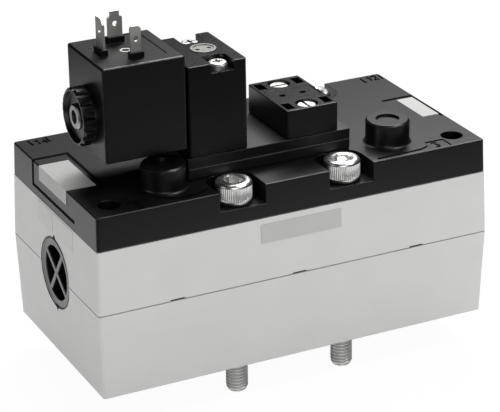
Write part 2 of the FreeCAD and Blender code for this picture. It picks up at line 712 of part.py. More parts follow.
def cover():
    body = new_body("cover")
    foot_length = "body_length + 2 * cover_spread"
    foot_width = "body_width + 2 * cover_spread"
    plan = sketch(body, "cover_foot", "XY_Plane", [centred(foot_length, foot_width)],
                  lift="cover_bottom")
    pad(body, plan, "cover_height", spread="0 - draft_ratio")
    round_edges(body, upright(size("cover_bottom"), size("cover_top")), "body_corner")
    round_edges(body, at_height(size("cover_top")), "edge_round")
    bosses = [("0 - boss_half_pitch", "boss_row", "boss_radius"),
              ("boss_half_pitch", "boss_row", "boss_radius")]
    plan = sketch(body, "bosses", "XY_Plane", bosses, lift="cover_top")
    pad(body, plan, "boss_height")
    doc.recompute()
    for name, level, kind, reach in (("foot", "cover_top", "Fillet", "boss_flare"),
                                     ("rim", "cover_top + boss_height", "Chamfer", "boss_bevel")):
        rims = []
        base = body.Tip
        for number, edge in enumerate(base.Shape.Edges, start=1):
            round_edge = hasattr(edge.Curve, "Radius")
            if round_edge and abs(edge.Curve.Radius - size("boss_radius")) < 0.01:
                if abs(edge.CenterOfMass.z - size(level)) < 0.01:
                    rims.append("Edge%d" % number)
        feature = body.newObject("PartDesign::" + kind, "boss_" + name)
        feature.Base = (base, rims)
        bind(feature, "Radius" if kind == "Fillet" else "Size", reach)
        doc.recompute()
    recesses = [("0 - boss_half_pitch", "boss_row", "boss_recess_radius"),
                ("boss_half_pitch", "boss_row", "boss_recess_radius")]
    plan = sketch(body, "boss_recesses", "XY_Plane", recesses, lift="cover_top + boss_height")
    cut(body, plan, "boss_recess_depth")
    for number, (x, y) in enumerate(SCREW_SPOTS):
        head_pocket(body, "head_pocket_%d" % number, x, -1 if number < 2 else 1)
    plan = sketch(body, "cover_screw_holes", "XY_Plane", SCREW_HOLES, lift="cover_bottom")
    cut(body, plan, "cover_height", up=True, through=True)
    corner_x = "(body_length / 2 - corner_hole_inset_x)"
    corner_y = "0 - (body_width / 2 - corner_hole_inset_y)"
    ports = [("0 - " + corner_x, corner_y, "corner_hole_radius"),
             (corner_x, corner_y, "corner_hole_radius")]
    plan = sketch(body, "corner_ports", "XY_Plane", ports, lift="cover_top")
    cut(body, plan, "corner_hole_depth")
    taps = [(x, y, "deck_tap") for x, y in PILOT_SPOTS + BLOCK_SPOTS]
    plan = sketch(body, "deck_taps", "XY_Plane", taps, lift="cover_top")
    cut(body, plan, "deck_tap_depth")
    label_frame(body, "left_frame", -1, "left_frame_rear", "left_frame_front")
    label_frame(body, "right_frame", 1, "right_frame_rear", "right_frame_front")
    return keep(body)


def body_screws():
    """Four socket head screws, from their heads to the ends below the base."""
    seat = "head_seat"
    top = "head_seat + head_height"
    tip = "0 - screw_stickout"
    thread_top = "thread_length - screw_stickout"
    thread = "screw_diameter / 2"
    head = "head_diameter / 2"
    collar = "head_diameter / 2 - 0.6"
    profile = [("0", tip), (thread + " - thread_lead", tip), (thread, tip + " + thread_lead"),
               (thread, thread_top), ("screw_shank / 2", thread_top), ("screw_shank / 2", seat),
               (collar, seat), (collar, seat + " + head_collar"),
               (head, seat + " + head_collar"), (head, top + " - head_chamfer"),
               (head + " - head_chamfer", top), ("0", top)]
    flat = "hex_across / 2"
    point = "hex_across / sqrt(3)"
    half_point = "hex_across / sqrt(3) / 2"
    screws = []
    for number, (x, y) in enumerate(SCREW_SPOTS):
        body = turned_along_z("body_screw_%d" % number, profile, x, y)
        corners = [(point, "0"), (half_point, flat), ("0 - " + half_point, flat),
                   ("0 - " + point, "0"), ("0 - " + half_point, "0 - " + flat),
                   (half_point, "0 - " + flat)]
        spots = [("%s + %s" % (x, a), "%s + %s" % (y, b)) for a, b in corners]
        plan = sketch(body, "hexagon_%d" % number, "XY_Plane", [spots], lift=top)
        cut(body, plan, "hex_depth")
        screws.append(body)
    return keep(group("body_screws", screws))


def sleeve():
    """The sleeve in which the spool runs, with a ring of windows at each port."""
    profile = [("sleeve_left", "sleeve_bore"), ("sleeve_right", "sleeve_bore"),
               ("sleeve_right", "stack_radius"), ("sleeve_left", "stack_radius")]
    body = turned_along_x("spool_sleeve", profile, "0", "bore_z")
    windows = []
    for step in (-2, -1, 0, 1, 2):
        middle = "%d * port_pitch" % step
        windows.append(rectangle(middle + " - window_length / 2", middle + " + window_length / 2",
                                 "0 - window_width / 2", "window_width / 2"))
    plan = sketch(body, "windows_up_down", "XY_Plane", windows, lift="bore_z - stack_radius - 1")
    cut(body, plan, "2 * stack_radius + 2", up=True)
    plan = sketch(body, "windows_front_rear", "XZ_Plane", windows, lift="0 - stack_radius - 1",
                  shift=("0", "bore_z"))
    cut(body, plan, "2 * stack_radius + 2", up=True)
    return keep(body)


# Each spool seal closes the sleeve beside a port: as port step, side and shift.
SEAL_PLACES = [
    "0 - 2 * port_pitch - blocking - 2.2",
    "0 - port_pitch - 2.5",
    "0 - port_pitch / 2 + 0.5",
    "port_pitch - 2.5",
    "1.5 * port_pitch + 0.5",
    "2 * port_pitch + spool_travel + blocking",
]


def main_spool():
    """Lands carry the seals in grooves; necks between them pass the air."""
    land, neck, floor = "land_radius", "spool_neck", "seal_floor"
    margin = "1.2"
    left = "0 - spool_left"
    points = [("0 - spool_left - spigot_length", "0"),
              ("0 - spool_left - spigot_length", "spigot_radius"), (left, "spigot_radius"),
              (left, land)]
    lands = [SEAL_PLACES[:1], SEAL_PLACES[1:3], SEAL_PLACES[3:5], SEAL_PLACES[5:]]
    half = "spool_seal_width / 2"
    for number, seals in enumerate(lands):
        if number:
            start = "%s - %s - %s" % (seals[0], half, margin)
            points += [(start, neck), (start, land)]
        for middle in seals:
            a, b = "%s - %s" % (middle, half), "%s + %s" % (middle, half)
            points += [(a, land), (a, floor), (b, floor), (b, land)]
        if number < 3:
            end = "%s + %s + %s" % (seals[-1], half, margin)
            points += [(end, land), (end, neck)]
    shoulder = "%s + %s + %s" % (SEAL_PLACES[5], half, margin)
    points += [(shoulder, land), (shoulder, "piston_stem"),
               ("piston_right - 2", "piston_stem"), ("piston_right - 2", "0")]
    return keep(turned_along_x("main_spool", points, "0", "bore_z"))


def spool_seals():
    seals = []
    half = "spool_seal_width / 2"
    for number, middle in enumerate(SEAL_PLACES):
        ring = [("0 - " + half, "seal_floor"), (half, "seal_floor"),
                (half, "seal_radius"), ("0 - " + half, "seal_radius")]
        seals.append(turned_along_x("spool_seal_%d" % number, ring, "0", "bore_z", x=middle))
    return keep(group("spool_seals", seals))


def drive_piston():
    rim = "cylinder_bore - running_gap"
    groove = "piston_right - piston_length / 2"
    half = "spool_seal_width / 2"
    floor = "cylinder_bore - 2"
    points = [("piston_left", "piston_stem"), ("piston_left", rim + " - 0.5"),
              ("piston_left + 0.5", rim), (groove + " - " + half, rim),
              (groove + " - " + half, floor), (groove + " + " + half, floor),
              (groove + " + " + half, rim), ("piston_right", rim), ("piston_right", "0"),
              ("piston_right - 2", "0"), ("piston_right - 2", "piston_stem")]
    keep(turned_along_x("drive_piston", points, "0", "bore_z"))
    ring = [(groove + " - " + half, floor), (groove + " + " + half, floor),
            (groove + " + " + half, rim), (groove + " - " + half, rim)]
    keep(turned_along_x("piston_seal", ring, "0", "bore_z"))


def drive_cylinder():
    """The closed cup at the right end in which the drive piston runs."""
    inner = "stack_end - cylinder_end"
    groove = "stack_end - 6"
    half = "end_seal_width / 2"
    floor = "stack_radius - end_seal_depth"
    points = [("sleeve_right", "cylinder_bore"), (inner, "cylinder_bore"), (inner, "0"),
              ("stack_end", "0"), ("stack_end", "stack_radius - 0.5"),
              ("stack_end - 0.5", "stack_radius"), (groove + " + " + half, "stack_radius"),
              (groove + " + " + half, floor), (groove + " - " + half, floor),
              (groove + " - " + half, "stack_radius"), ("sleeve_right", "stack_radius")]
    keep(turned_along_x("drive_cylinder", points, "0", "bore_z"))
    ring = [(groove + " - " + half, floor), (groove + " + " + half, floor),
            (groove + " + " + half, "stack_radius"), (groove + " - " + half, "stack_radius")]
    keep(turned_along_x("right_end_seal", ring, "0", "bore_z"))


def vent_insert():
    """The ring with crossed spokes that closes the left end and lets it breathe."""
    outer_face = "0 - stack_end"
    groove = "0 - stack_end + 9"
    half = "end_seal_width / 2"
    floor = "stack_radius - end_seal_depth"
    points = [("sleeve_left", "insert_bore"), ("sleeve_left", "stack_radius"),
              (groove + " + " + half, "stack_radius"), (groove + " + " + half, floor),
              (groove + " - " + half, floor), (groove + " - " + half, "stack_radius"),
              (outer_face + " + 0.4", "stack_radius"), (outer_face, "stack_radius - 0.4"),
              (outer_face, "insert_bore")]
    ring = turned_along_x("vent_ring", points, "0", "bore_z")
    spokes = []
    for number, turn_text in enumerate(("web_turn", "web_turn + 90")):
        spoke = doc.addObject("Part::Box", "spoke_%d" % number)
        bind(spoke, "Length", "web_depth")
        bind(spoke, "Width", "2 * insert_bore + 1")
        bind(spoke, "Height", "web_thick")
        spoke.Placement.Rotation = Rotation(Vector(1, 0, 0), 0)
        spoke.setExpression("Placement.Rotation.Angle", formula(turn_text))
        half_long = "(insert_bore + 0.5)"
        angle = "(%s)" % turn_text
        bind(spoke, "Placement.Base.x", outer_face)
        bind(spoke, "Placement.Base.y",
             "0 - %s * cos(%s) + web_thick / 2 * sin(%s)" % (half_long, angle, angle))
        bind(spoke, "Placement.Base.z",
             "bore_z - %s * sin(%s) - web_thick / 2 * cos(%s)" % (half_long, angle, angle))
        spokes.append(spoke)
    whole = doc.addObject("Part::MultiFuse", "vent_insert")
    whole.Label = "vent_insert"
    whole.Shapes = [ring] + spokes
    whole.Refine = True
    keep(whole)
    band = [(groove + " - " + half, floor), (groove + " + " + half, floor),
            (groove + " + " + half, "stack_radius"), (groove + " - " + half, "stack_radius")]
    keep(turned_along_x("left_end_seal", band, "0", "bore_z"))


def coil_spring(label, start, end, y, z, radius, wire, turns):
    """A square-wire compression spring along X, between two faces."""
    steps = int(size("spring_steps") * turns)
    sections = []
    for step in range(steps + 1):
        spin = Rotation(Vector(0, 0, 1), 360 * turns * step / steps)
        height = (end - start - wire) * step / steps
        corners = [(radius - wire / 2, height - wire / 2), (radius + wire / 2, height - wire / 2),
                   (radius + wire / 2, height + wire / 2), (radius - wire / 2, height + wire / 2)]
        points = [spin.multVec(Vector(out, 0, up)) for out, up in corners]
        sections.append(Part.makePolygon(points + points[:1]))
    spring = doc.addObject("Part::Feature", label)
    spring.Label = label
    spring.Shape = Part.makeLoft(sections, True, True)
    spring.Placement = FreeCAD.Placement(Vector(start + wire / 2, y, z),
                                         Rotation(Vector(0, 1, 0), 90))
    return keep(spring)


def springs():
    coil_spring("return_spring", size("0 - stack_end + web_depth"), size("0 - spool_left"),
                0, size("bore_z"), size("spring_radius"), size("spring_wire"),
                size("spring_turns"))
    coil_spring("plunger_spring", size("core_face"), size("plunger_left + plunger_pocket_depth"),
                size("pilot_axis_y"), size("coil_axis_z"), size("plunger_spring_radius"),
                size("plunger_spring_wire"), size("plunger_spring_turns"))


def flat_gasket(label, outline, holes, level):
    body = new_body(label)
    plan = sketch(body, label + "_plan", "XY_Plane", [outline] + holes, lift=level)
    pad(body, plan, "deck_gasket")
    return keep(body)


def pilot_deck():
    """The adapter plate carries the pilot valve and the blanking block."""
    inset = "gasket_inset"
    flat_gasket("plate_gasket",
                rectangle("plate_left + " + inset, "plate_right - " + inset,
                          "plate_front + " + inset, "plate_rear - " + inset),
                DECK_HOLES, "cover_top")
    body = new_body("adapter_plate")
    outline = rectangle("plate_left", "plate_right", "plate_front", "plate_rear")
    pad(body, sketch(body, "plate_plan", "XY_Plane", [outline], lift="plate_bottom"),
        "plate_height")
    round_edges(body, upright(size("plate_bottom"), size("plate_top")), "plate_corner")
    steps = [rectangle("plate_left - 1", "plate_right + 1", "plate_front - 1", "plate_front + plate_step"),
             rectangle("plate_left - 1", "plate_right + 1", "plate_rear - plate_step", "plate_rear + 1")]
    plan = sketch(body, "plate_ledges", "XY_Plane", steps, lift="plate_top")
    cut(body, plan, "plate_height - plate_step_height")
    plan = sketch(body, "plate_holes", "XY_Plane", DECK_HOLES, lift="plate_bottom")
    cut(body, plan, "plate_height", up=True, through=True)
    keep(body)


def pilot_valve():
    front, rear = "pilot_axis_y - pilot_width / 2", "pilot_axis_y + pilot_width / 2"
    inset = "gasket_inset"
    holes = [(x, y, "deck_hole") for x, y in PILOT_SPOTS]
    flat_gasket("pilot_gasket",
                rectangle("pilot_left + " + inset, "pilot_right - " + inset,
                          front + " + " + inset, rear + " - " + inset), holes, "plate_top")
    body = new_body("pilot_body")
    outline = rectangle("pilot_left", "pilot_right", front, rear)
    pad(body, sketch(body, "pilot_plan", "XY_Plane", [outline], lift="deck_seat"),
        "pilot_height")
    round_edges(body, upright(size("deck_seat"), size("pilot_top")), "pilot_corner")
    round_edges(body, at_height(size("pilot_top")), "0.3")
    for name, side in (("front_notch", -1), ("rear_notch", 1)):
        mouth = "pilot_axis_y + %d * (pilot_width / 2 + 2)" % side
        back = "pilot_axis_y + %d * (pilot_screw_half - notch_half)" % side
        low, high = (mouth, back) if side < 0 else (back, mouth)
        slot = rectangle("pilot_screw_x - notch_half", "pilot_screw_x + notch_half", low, high)
        cut(body, sketch(body, name, "XY_Plane", [slot], lift="pilot_top"), "notch_depth")
    wall = size("pilot_screw_half - notch_half")

    def notch_corner(a, b):
        steep = abs(a.x - b.x) + abs(a.y - b.y) < 0.01
        beside = abs(abs(a.x - size("pilot_screw_x")) - size("notch_half")) < 0.01
        return steep and beside and abs(abs(a.y - size("pilot_axis_y")) - wall) < 0.01
    round_edges(body, notch_corner, "notch_round")
    plan = sketch(body, "pilot_screw_holes", "XY_Plane", holes, lift="deck_seat")
    cut(body, plan, "pilot_height", up=True, through=True)
    knob = ("pilot_screw_x", "pilot_axis_y")
    plan = sketch(body, "knob_seat", "XY_Plane", [knob + ("knob_radius + running_gap",)],
                  lift="pilot_top")
    cut(body, plan, "knob_height - knob_proud + running_gap")
    plan = sketch(body, "knob_bore", "XY_Plane", [knob + ("knob_stem + running_gap",)],
                  lift="pilot_top")
    cut(body, plan, "knob_height + knob_stem_length")
    chamber = [("pilot_left - 1", "0"), ("pilot_left - 1", "tube_radius + 0.05"),
               ("pilot_left + tube_depth", "tube_radius + 0.05"),
               ("pilot_left + tube_depth", "seat_radius + 0.02"),
               ("seat_face + seat_length", "seat_radius + 0.02"),
               ("seat_face + seat_length", "0")]
    plan = sketch(body, "armature_chamber", "XZ_Plane", [chamber],
                  lift="0 - (pilot_axis_y)", shift=("0", "coil_axis_z"))
    bore_out(body, plan)
    keep(body)


def pilot_screws():
    screws = []
    for number, (x, y) in enumerate(PILOT_SPOTS):
        seat = "notch_floor"
        top = "notch_floor + pan_head_height"
        profile = [("0", seat + " - pilot_screw_length"), ("1.5", seat + " - pilot_screw_length"),
                   ("1.5", seat), ("pan_head_radius", seat),
                   ("pan_head_radius", top + " - 0.9"), ("pan_head_radius - 0.5", top + " - 0.2"),
                   ("pan_head_radius - 1.2", top), ("0", top)]
        body = turned_along_z("pilot_screw_%d" % number, profile, x, y)
        half_w, half_l = "cross_width / 2", "cross_length / 2"
        arms = [(half_w, half_l), ("0 - " + half_w, half_l), ("0 - " + half_w, half_w),
                ("0 - " + half_l, half_w), ("0 - " + half_l, "0 - " + half_w),
                ("0 - " + half_w, "0 - " + half_w), ("0 - " + half_w, "0 - " + half_l),
                (half_w, "0 - " + half_l), (half_w, "0 - " + half_w),
                (half_l, "0 - " + half_w), (half_l, half_w), (half_w, half_w)]
        spots = [("%s + %s" % (x, a), "%s + %s" % (y, b)) for a, b in arms]
        plan = sketch(body, "cross_%d" % number, "XY_Plane", [spots], lift=top)
        cut(body, plan, "cross_depth")
        screws.append(body)
    return keep(group("pilot_screws", screws))


def manual_override():
    """A turning metal disc with a dished face and two pin holes."""
    top = "pilot_top + knob_proud"
    under = top + " - knob_height"
    tip = "pilot_top + knob_proud - knob_height - knob_stem_length + 1"
    profile = [("0", tip), ("knob_stem", tip), ("knob_stem", under), ("knob_radius", under),
               ("knob_radius", top), ("knob_radius - knob_rim", top),
               ("knob_radius - knob_rim", top + " - knob_dish"), ("0", top + " - knob_dish")]
    body = turned_along_z("override_knob", profile, "pilot_screw_x", "pilot_axis_y")
    holes = [("pilot_screw_x - pin_hole_half", "pilot_axis_y", "pin_hole_radius"),
             ("pilot_screw_x + pin_hole_half", "pilot_axis_y", "pin_hole_radius")]
    plan = sketch(body, "pin_holes", "XY_Plane", holes, lift=top + " - knob_dish")
    cut(body, plan, "pin_hole_depth")
    return keep(body)


def armature():
    """Tube, fixed core, plunger with its seat pad, and the brass seat."""
    y, z = "pilot_axis_y", "coil_axis_z"
    inner = "tube_radius - tube_wall"
    keep(turned_along_x("armature_tube", [
        ("core_root", inner), ("pilot_left + tube_depth", inner),
        ("pilot_left + tube_depth", "tube_radius"), ("core_root", "tube_radius")], y, z))
    keep(turned_along_x("fixed_core", [
        ("tube_end + core_socket_depth", "0"), ("tube_end + core_socket_depth", "core_socket"),
        ("tube_end", "core_socket"), ("tube_end", "tube_radius - 0.5"),
        ("tube_end + 0.5", "tube_radius"), ("core_root", "tube_radius"),
        ("core_root", inner), ("core_face", inner), ("core_face", "0")], y, z))
    keep(turned_along_x("plunger", [
        ("plunger_left + plunger_pocket_depth", "0"),
        ("plunger_left + plunger_pocket_depth", "plunger_pocket"),
        ("plunger_left", "plunger_pocket"), ("plunger_left", "plunger_radius"),
        ("plunger_right", "plunger_radius"), ("plunger_right", "pad_radius"),
        ("plunger_right - pad_depth", "pad_radius"), ("plunger_right - pad_depth", "0")], y, z))
    keep(turned_along_x("plunger_pad", [
        ("plunger_right - pad_depth", "0"), ("plunger_right - pad_depth", "pad_radius"),
        ("plunger_right + pad_proud", "pad_radius"), ("plunger_right + pad_proud", "0")], y, z))
    keep(turned_along_x("valve_seat", [
        ("seat_face", "seat_orifice"), ("seat_face + seat_length", "seat_orifice"),
        ("seat_face + seat_length", "seat_radius"), ("seat_face + 0.8", "seat_radius"),
        ("seat_face + 0.8", "seat_orifice + 0.8"), ("seat_face", "seat_orifice + 0.4")], y, z))


BLADES = [
    ("rear_blade", "0", "terminal_half", "blade_width", "blade_height", False),
    ("front_blade", "0", "0 - terminal_half", "front_blade_width", "blade_height", False),
    ("earth_blade", "0 - terminal_half", "0", "earth_width", "earth_height", True),
]


def coil_housing():
    """The moulded coil with its terminal base, slid over the armature tube."""
    body = new_body("coil_housing")
    outline = rectangle("coil_left", "coil_right", "coil_front", "coil_rear")
    pad(body, sketch(body, "coil_plan", "XY_Plane", [outline], lift="coil_bottom"),
        "coil_top - coil_bottom")
    round_edges(body, lambda a, b: True, "coil_corner")
    plan = sketch(body, "coil_bore", "YZ_Plane",
                  [("pilot_axis_y", "coil_axis_z", "tube_radius + tube_play")], lift="coil_left - 1")
    cut(body, plan, "coil_right - coil_left + 2", up=True)
    x, y = "terminal_x", "pilot_axis_y"
    left, right = x + " - seat_left", x + " + seat_right"
    front, rear = y + " - seat_front", y + " + seat_rear"
    outline = [(left, front), (right, front), (right, rear), (left + " + seat_cut", rear),
               (left, rear + " - seat_cut")]
    plan = sketch(body, "gasket_seat", "XY_Plane", [outline], lift="coil_top")
    cut(body, plan, "seat_depth")
    for name, dx, dy, width, height, across in BLADES:
        middle_x, middle_y = "%s + %s" % (x, dx), "%s + %s" % (y, dy)
        long_side, short_side = width + " + 2 * blade_pad_wall", "blade_pad_width"
        slot = (width + " + 0.04", "blade_thick + 0.04")
        if across:
            outline = centred(short_side, long_side, middle_x, middle_y)
            hole = centred(slot[1], slot[0], middle_x, middle_y)
        else:
            outline = centred(long_side, short_side, middle_x, middle_y)
            hole = centred(slot[0], slot[1], middle_x, middle_y)
        plan = sketch(body, name + "_pad", "XY_Plane", [outline], lift="terminal_seat")
        pad(body, plan, "blade_pad_height")
        plan = sketch(body, name + "_slot", "XY_Plane", [hole],
                      lift="terminal_seat + blade_pad_height")
        cut(body, plan, "blade_root + blade_pad_height - seat_depth")
    plan = sketch(body, "insert_socket", "XY_Plane", [(x, y, "insert_radius")], lift="coil_top")
    cut(body, plan, "insert_depth")
    return keep(body)


def terminals():
    for name, dx, dy, width, height, across in BLADES:
        body = new_body(name)
        x, y = "terminal_x + " + dx, "pilot_axis_y + " + dy
        foot, tip = "coil_top - blade_root", "coil_top + " + height
        along = y if across else x
        half = "(%s) / 2" % width
        low, high = "%s - %s" % (along, half), "%s + %s" % (along, half)
        if name == "rear_blade":
            outline = [(low, foot), (high, foot), (high, tip + " - blade_tip"),
                       (high + " - blade_tip_inset", tip + " - blade_tip + 0.6"),
                       (high + " - blade_tip_inset", tip), (low + " + blade_tip_inset", tip),
                       (low + " + blade_tip_inset", tip + " - blade_tip + 0.6"),
                       (low, tip + " - blade_tip")]
        elif name == "front_blade":
            outline = [(low, foot), (high, foot), (high, tip + " - tip_corner"),
                       (high + " - tip_corner", tip), (low + " + tip_corner / 2", tip),
                       (low, tip + " - tip_corner / 2")]
        else:
            outline = [(low, foot), (high, foot), (high, tip + " - tip_corner / 2"),
                       (high + " - tip_corner / 2", tip), (low + " + 1.2 * tip_corner", tip),
                       (low, tip + " - 1.6 * tip_corner")]
        hole = (along, tip + " - blade_hole_drop", "blade_hole_radius")
        plane, lift = ("YZ_Plane", x) if across else ("XZ_Plane", "0 - (%s)" % y)
        plan = sketch(body, name + "_outline", plane, [outline, hole], lift=lift)
        pad(body, plan, "blade_thick", midplane=True)
        if name == "front_blade":
            edge_x = size("terminal_x + front_blade_width / 2")
            edge_y = size("pilot_axis_y - terminal_half - blade_thick / 2")
            round_edges(body, lambda a, b: abs(a.x - edge_x) + abs(b.x - edge_x) < 0.01
                        and abs(a.y - edge_y) + abs(b.y - edge_y) < 0.01,
                        "front_blade_bevel", "Chamfer")
        keep(body)
    top = "terminal_seat"
    keep(turned_along_z("thread_insert", [
        ("insert_hole", "coil_top - insert_depth"), ("insert_radius", "coil_top - insert_depth"),
        ("insert_radius", top), ("insert_hole", top)], "terminal_x", "pilot_axis_y"))


def coil_nut():
    """A round plastic nut with grip scallops, screwed on the fixed core."""
    inner = "coil_left"
    outer = "coil_left - nut_thick"
    body = turned_along_x("coil_nut", [
        (inner, "tube_radius"), (inner, "nut_radius - 0.2"), (inner + " - nut_flange", "nut_radius - 0.2"),
        (inner + " - nut_flange", "nut_radius"), (outer + " + 0.7", "nut_radius"),
        (outer, "nut_radius - 0.7"), (outer, "nut_dish_radius"),
        (outer + " + nut_dish", "nut_dish_radius - 0.6"), (outer + " + nut_dish", "tube_radius")],
        "pilot_axis_y", "coil_axis_z")
    plan = sketch(body, "scallop", "YZ_Plane",
                  [("pilot_axis_y", "coil_axis_z + nut_radius + nut_scallop - 0.9", "nut_scallop")],
                  lift=outer + " - 1")
    hollow = cut(body, plan, "nut_thick - nut_flange + 1", up=True)
    spin = body.newObject("PartDesign::PolarPattern", "scallops")
    spin.Originals = [hollow]
    spin.Axis = (body.Group[0], ["H_Axis"])
    spin.Angle = 360
    bind(spin, "Occurrences", "nut_lobes")
    body.Tip = spin
    doc.recompute()
    return keep(body)


def coil_seals():
    y, z = "pilot_axis_y", "coil_axis_z"
    gap_left, gap_right = "coil_right", "pilot_left"
    ring = [(gap_left, "tube_radius + 0.1"), (gap_right, "tube_radius + 0.1"),
            (gap_right, "tube_radius + 2.2"), (gap_left, "tube_radius + 2.2")]
    keep(turned_along_x("coil_seal", ring, y, z))


def blanking_block():
    front, rear = "pilot_axis_y - block_width / 2", "pilot_axis_y + block_width / 2"
    inset = "gasket_inset"
    holes = [(x, y, "deck_hole") for x, y in BLOCK_SPOTS]
    flat_gasket("block_gasket",
                rectangle("block_left + " + inset, "block_right - " + inset,
                          front + " + " + inset, rear + " - " + inset), holes, "plate_top")
    body = new_body("blanking_block")
    outline = rectangle("block_left", "block_right", front, rear)
    pad(body, sketch(body, "block_plan", "XY_Plane", [outline], lift="deck_seat"), "block_height")
    round_edges(body, upright(size("deck_seat"), size("block_top")), "block_corner")
    round_edges(body, at_height(size("block_top")), "0.3")
    band = rectangle("block_left + 1", "block_right - 1",
                     "pilot_axis_y - block_band_half", "pilot_axis_y + block_band_half")
    cut(body, sketch(body, "middle_band", "XY_Plane", [band], lift="block_top"), "block_band_step")
    wells = [(x, y, "counterbore_radius") for x, y in BLOCK_SPOTS]
    plan = sketch(body, "counterbores", "XY_Plane", wells, lift="block_top")
    cut(body, plan, "cheese_sunk + cheese_height")
    plan = sketch(body, "block_screw_holes", "XY_Plane", holes, lift="deck_seat")
    cut(body, plan, "block_height", up=True, through=True)
    pockets = []
    for x, y in BLOCK_SPOTS:
        for side in (-1, 1):
            middle = "%s + %d * core_pocket_reach" % (x, side)
            pockets.append(rectangle(middle + " - core_pocket_half_x", middle + " + core_pocket_half_x",
                                     y + " - core_pocket_half_y", y + " + core_pocket_half_y"))
    cut(body, sketch(body, "core_pockets", "XY_Plane", pockets, lift="block_top"), "core_pocket_deep")
    vents = [("block_middle - block_vent_half", "pilot_axis_y", "block_vent_radius"),
             ("block_middle + block_vent_half", "pilot_axis_y", "block_vent_radius")]
    cut(body, sketch(body, "block_vents", "XY_Plane", vents, lift="block_top"), "block_vent_depth")
    keep(body)


def block_screws():
    screws = []
    for number, (x, y) in enumerate(BLOCK_SPOTS):
        seat, top = "cheese_floor", "cheese_floor + cheese_height"
        profile = [("0", seat + " - block_screw_length"), ("1.5", seat + " - block_screw_length"),
                   ("1.5", seat), ("cheese_radius", seat), ("cheese_radius", top + " - 0.3"),
                   ("cheese_radius - 0.3", top), ("0", top)]
        body = turned_along_z("block_screw_%d" % number, profile, x, y)
        turned = number == 0
        long_side, short_side = "2 * cheese_radius + 1", "cheese_slot"
        slot = centred(long_side, short_side, x, y)
        if turned:
            slot = centred(short_side, long_side, x, y)
        plan = sketch(body, "slot_%d" % number, "XY_Plane", [slot], lift=top)
        cut(body, plan, "cheese_slot_depth")
        screws.append(body)
    return keep(group("block_screws", screws))


def labels():
    """Bare label plates where the valve carries its labels."""
    body = new_body("left_label")
    outer = "0 - body_length / 2"
    inner = "0 - body_length / 2 + left_label_inner"
    skin = "label_thick"
    foot = "cover_top - left_label_drop"
    lean = "left_label_drop * draft_ratio"
    points = [(inner, "cover_top"), (inner, "cover_top + " + skin),
              (outer + " - " + skin, "cover_top + " + skin),
              ("%s - %s - %s" % (outer, skin, lean), foot), ("%s - %s" % (outer, lean), foot),
              (outer, "cover_top")]
    plan = sketch(body, "left_label_section", "XZ_Plane", [points],
                  lift="0 - (left_label_rear)")
    pad(body, plan, "left_label_rear - left_label_front")
    keep(body)
    body = new_body("right_label")
    outline = rectangle("body_length / 2 - right_label_inner", "body_length / 2 - right_label_outer",
                        "right_label_front", "right_label_rear")
    pad(body, sketch(body, "right_label_plan", "XY_Plane", [outline], lift="cover_top"), skin)
    keep(body)
    body = new_body("front_label")
    rise = "(upper_top - rating_top)"
    face_top = "0 - body_width / 2 - cover_spread - joint_step - %s * draft_ratio" % rise
    face_low = face_top + " - rating_height * draft_ratio"
    low = "rating_top - rating_height"
    points = [(face_top, "rating_top"), (face_low, low), (face_low + " - " + skin, low),
              (face_top + " - " + skin, "rating_top")]
    plan = sketch(body, "front_label_section", "YZ_Plane", [points], lift="rating_left")
    pad(body, plan, "rating_right - rating_left")
    keep(body)


lower_housing()
base_gasket()
housing_gasket()
upper_housing()
cover_gasket()
cover()
body_screws()
sleeve()
main_spool()
spool_seals()
drive_piston()
drive_cylinder()
vent_insert()
springs()
pilot_deck()
pilot_valve()
pilot_screws()
manual_override()
armature()
coil_housing()
terminals()
coil_nut()
coil_seals()
blanking_block()
block_screws()
labels()

doc.recompute()

for thing in doc.Objects:
    faults = [word for word in thing.State if word in ("Invalid", "Error")]
    if faults:
        raise RuntimeError("%s is %s" % (thing.Label, faults))

os.makedirs("parts", exist_ok=True)
for piece in PIECES:
    shape = piece.Shape
    if shape.isNull() or not shape.isValid():
        raise RuntimeError(piece.Label + " has no valid shape")
    shape.exportStep("parts/%s.step" % piece.Label)
    box = shape.BoundBox
    print("%-18s %2d solids %10.1f mm3  x %6.1f %6.1f  y %6.1f %6.1f  z %6.1f %6.1f" % (
        piece.Label, len(shape.Solids), shape.Volume, box.XMin, box.XMax,
        box.YMin, box.YMax, box.ZMin, box.ZMax))
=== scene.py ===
# %% [markdown]
# # A directional control valve
#
# The object is an air valve that is screwed on a sub-base: two die-cast aluminium housings,
# a black cover with four long socket head screws, and on it a small solenoid pilot valve with
# its coil, and a blanking block on the second pilot station. The CAD model brings every body in
# its place and size, in metres. This notebook gives each one its finish, makes the pieces that
# need a finer mesh than a solid model carries, and sets up the light and the camera.

import math

import bpy
from mathutils import Matrix, Vector


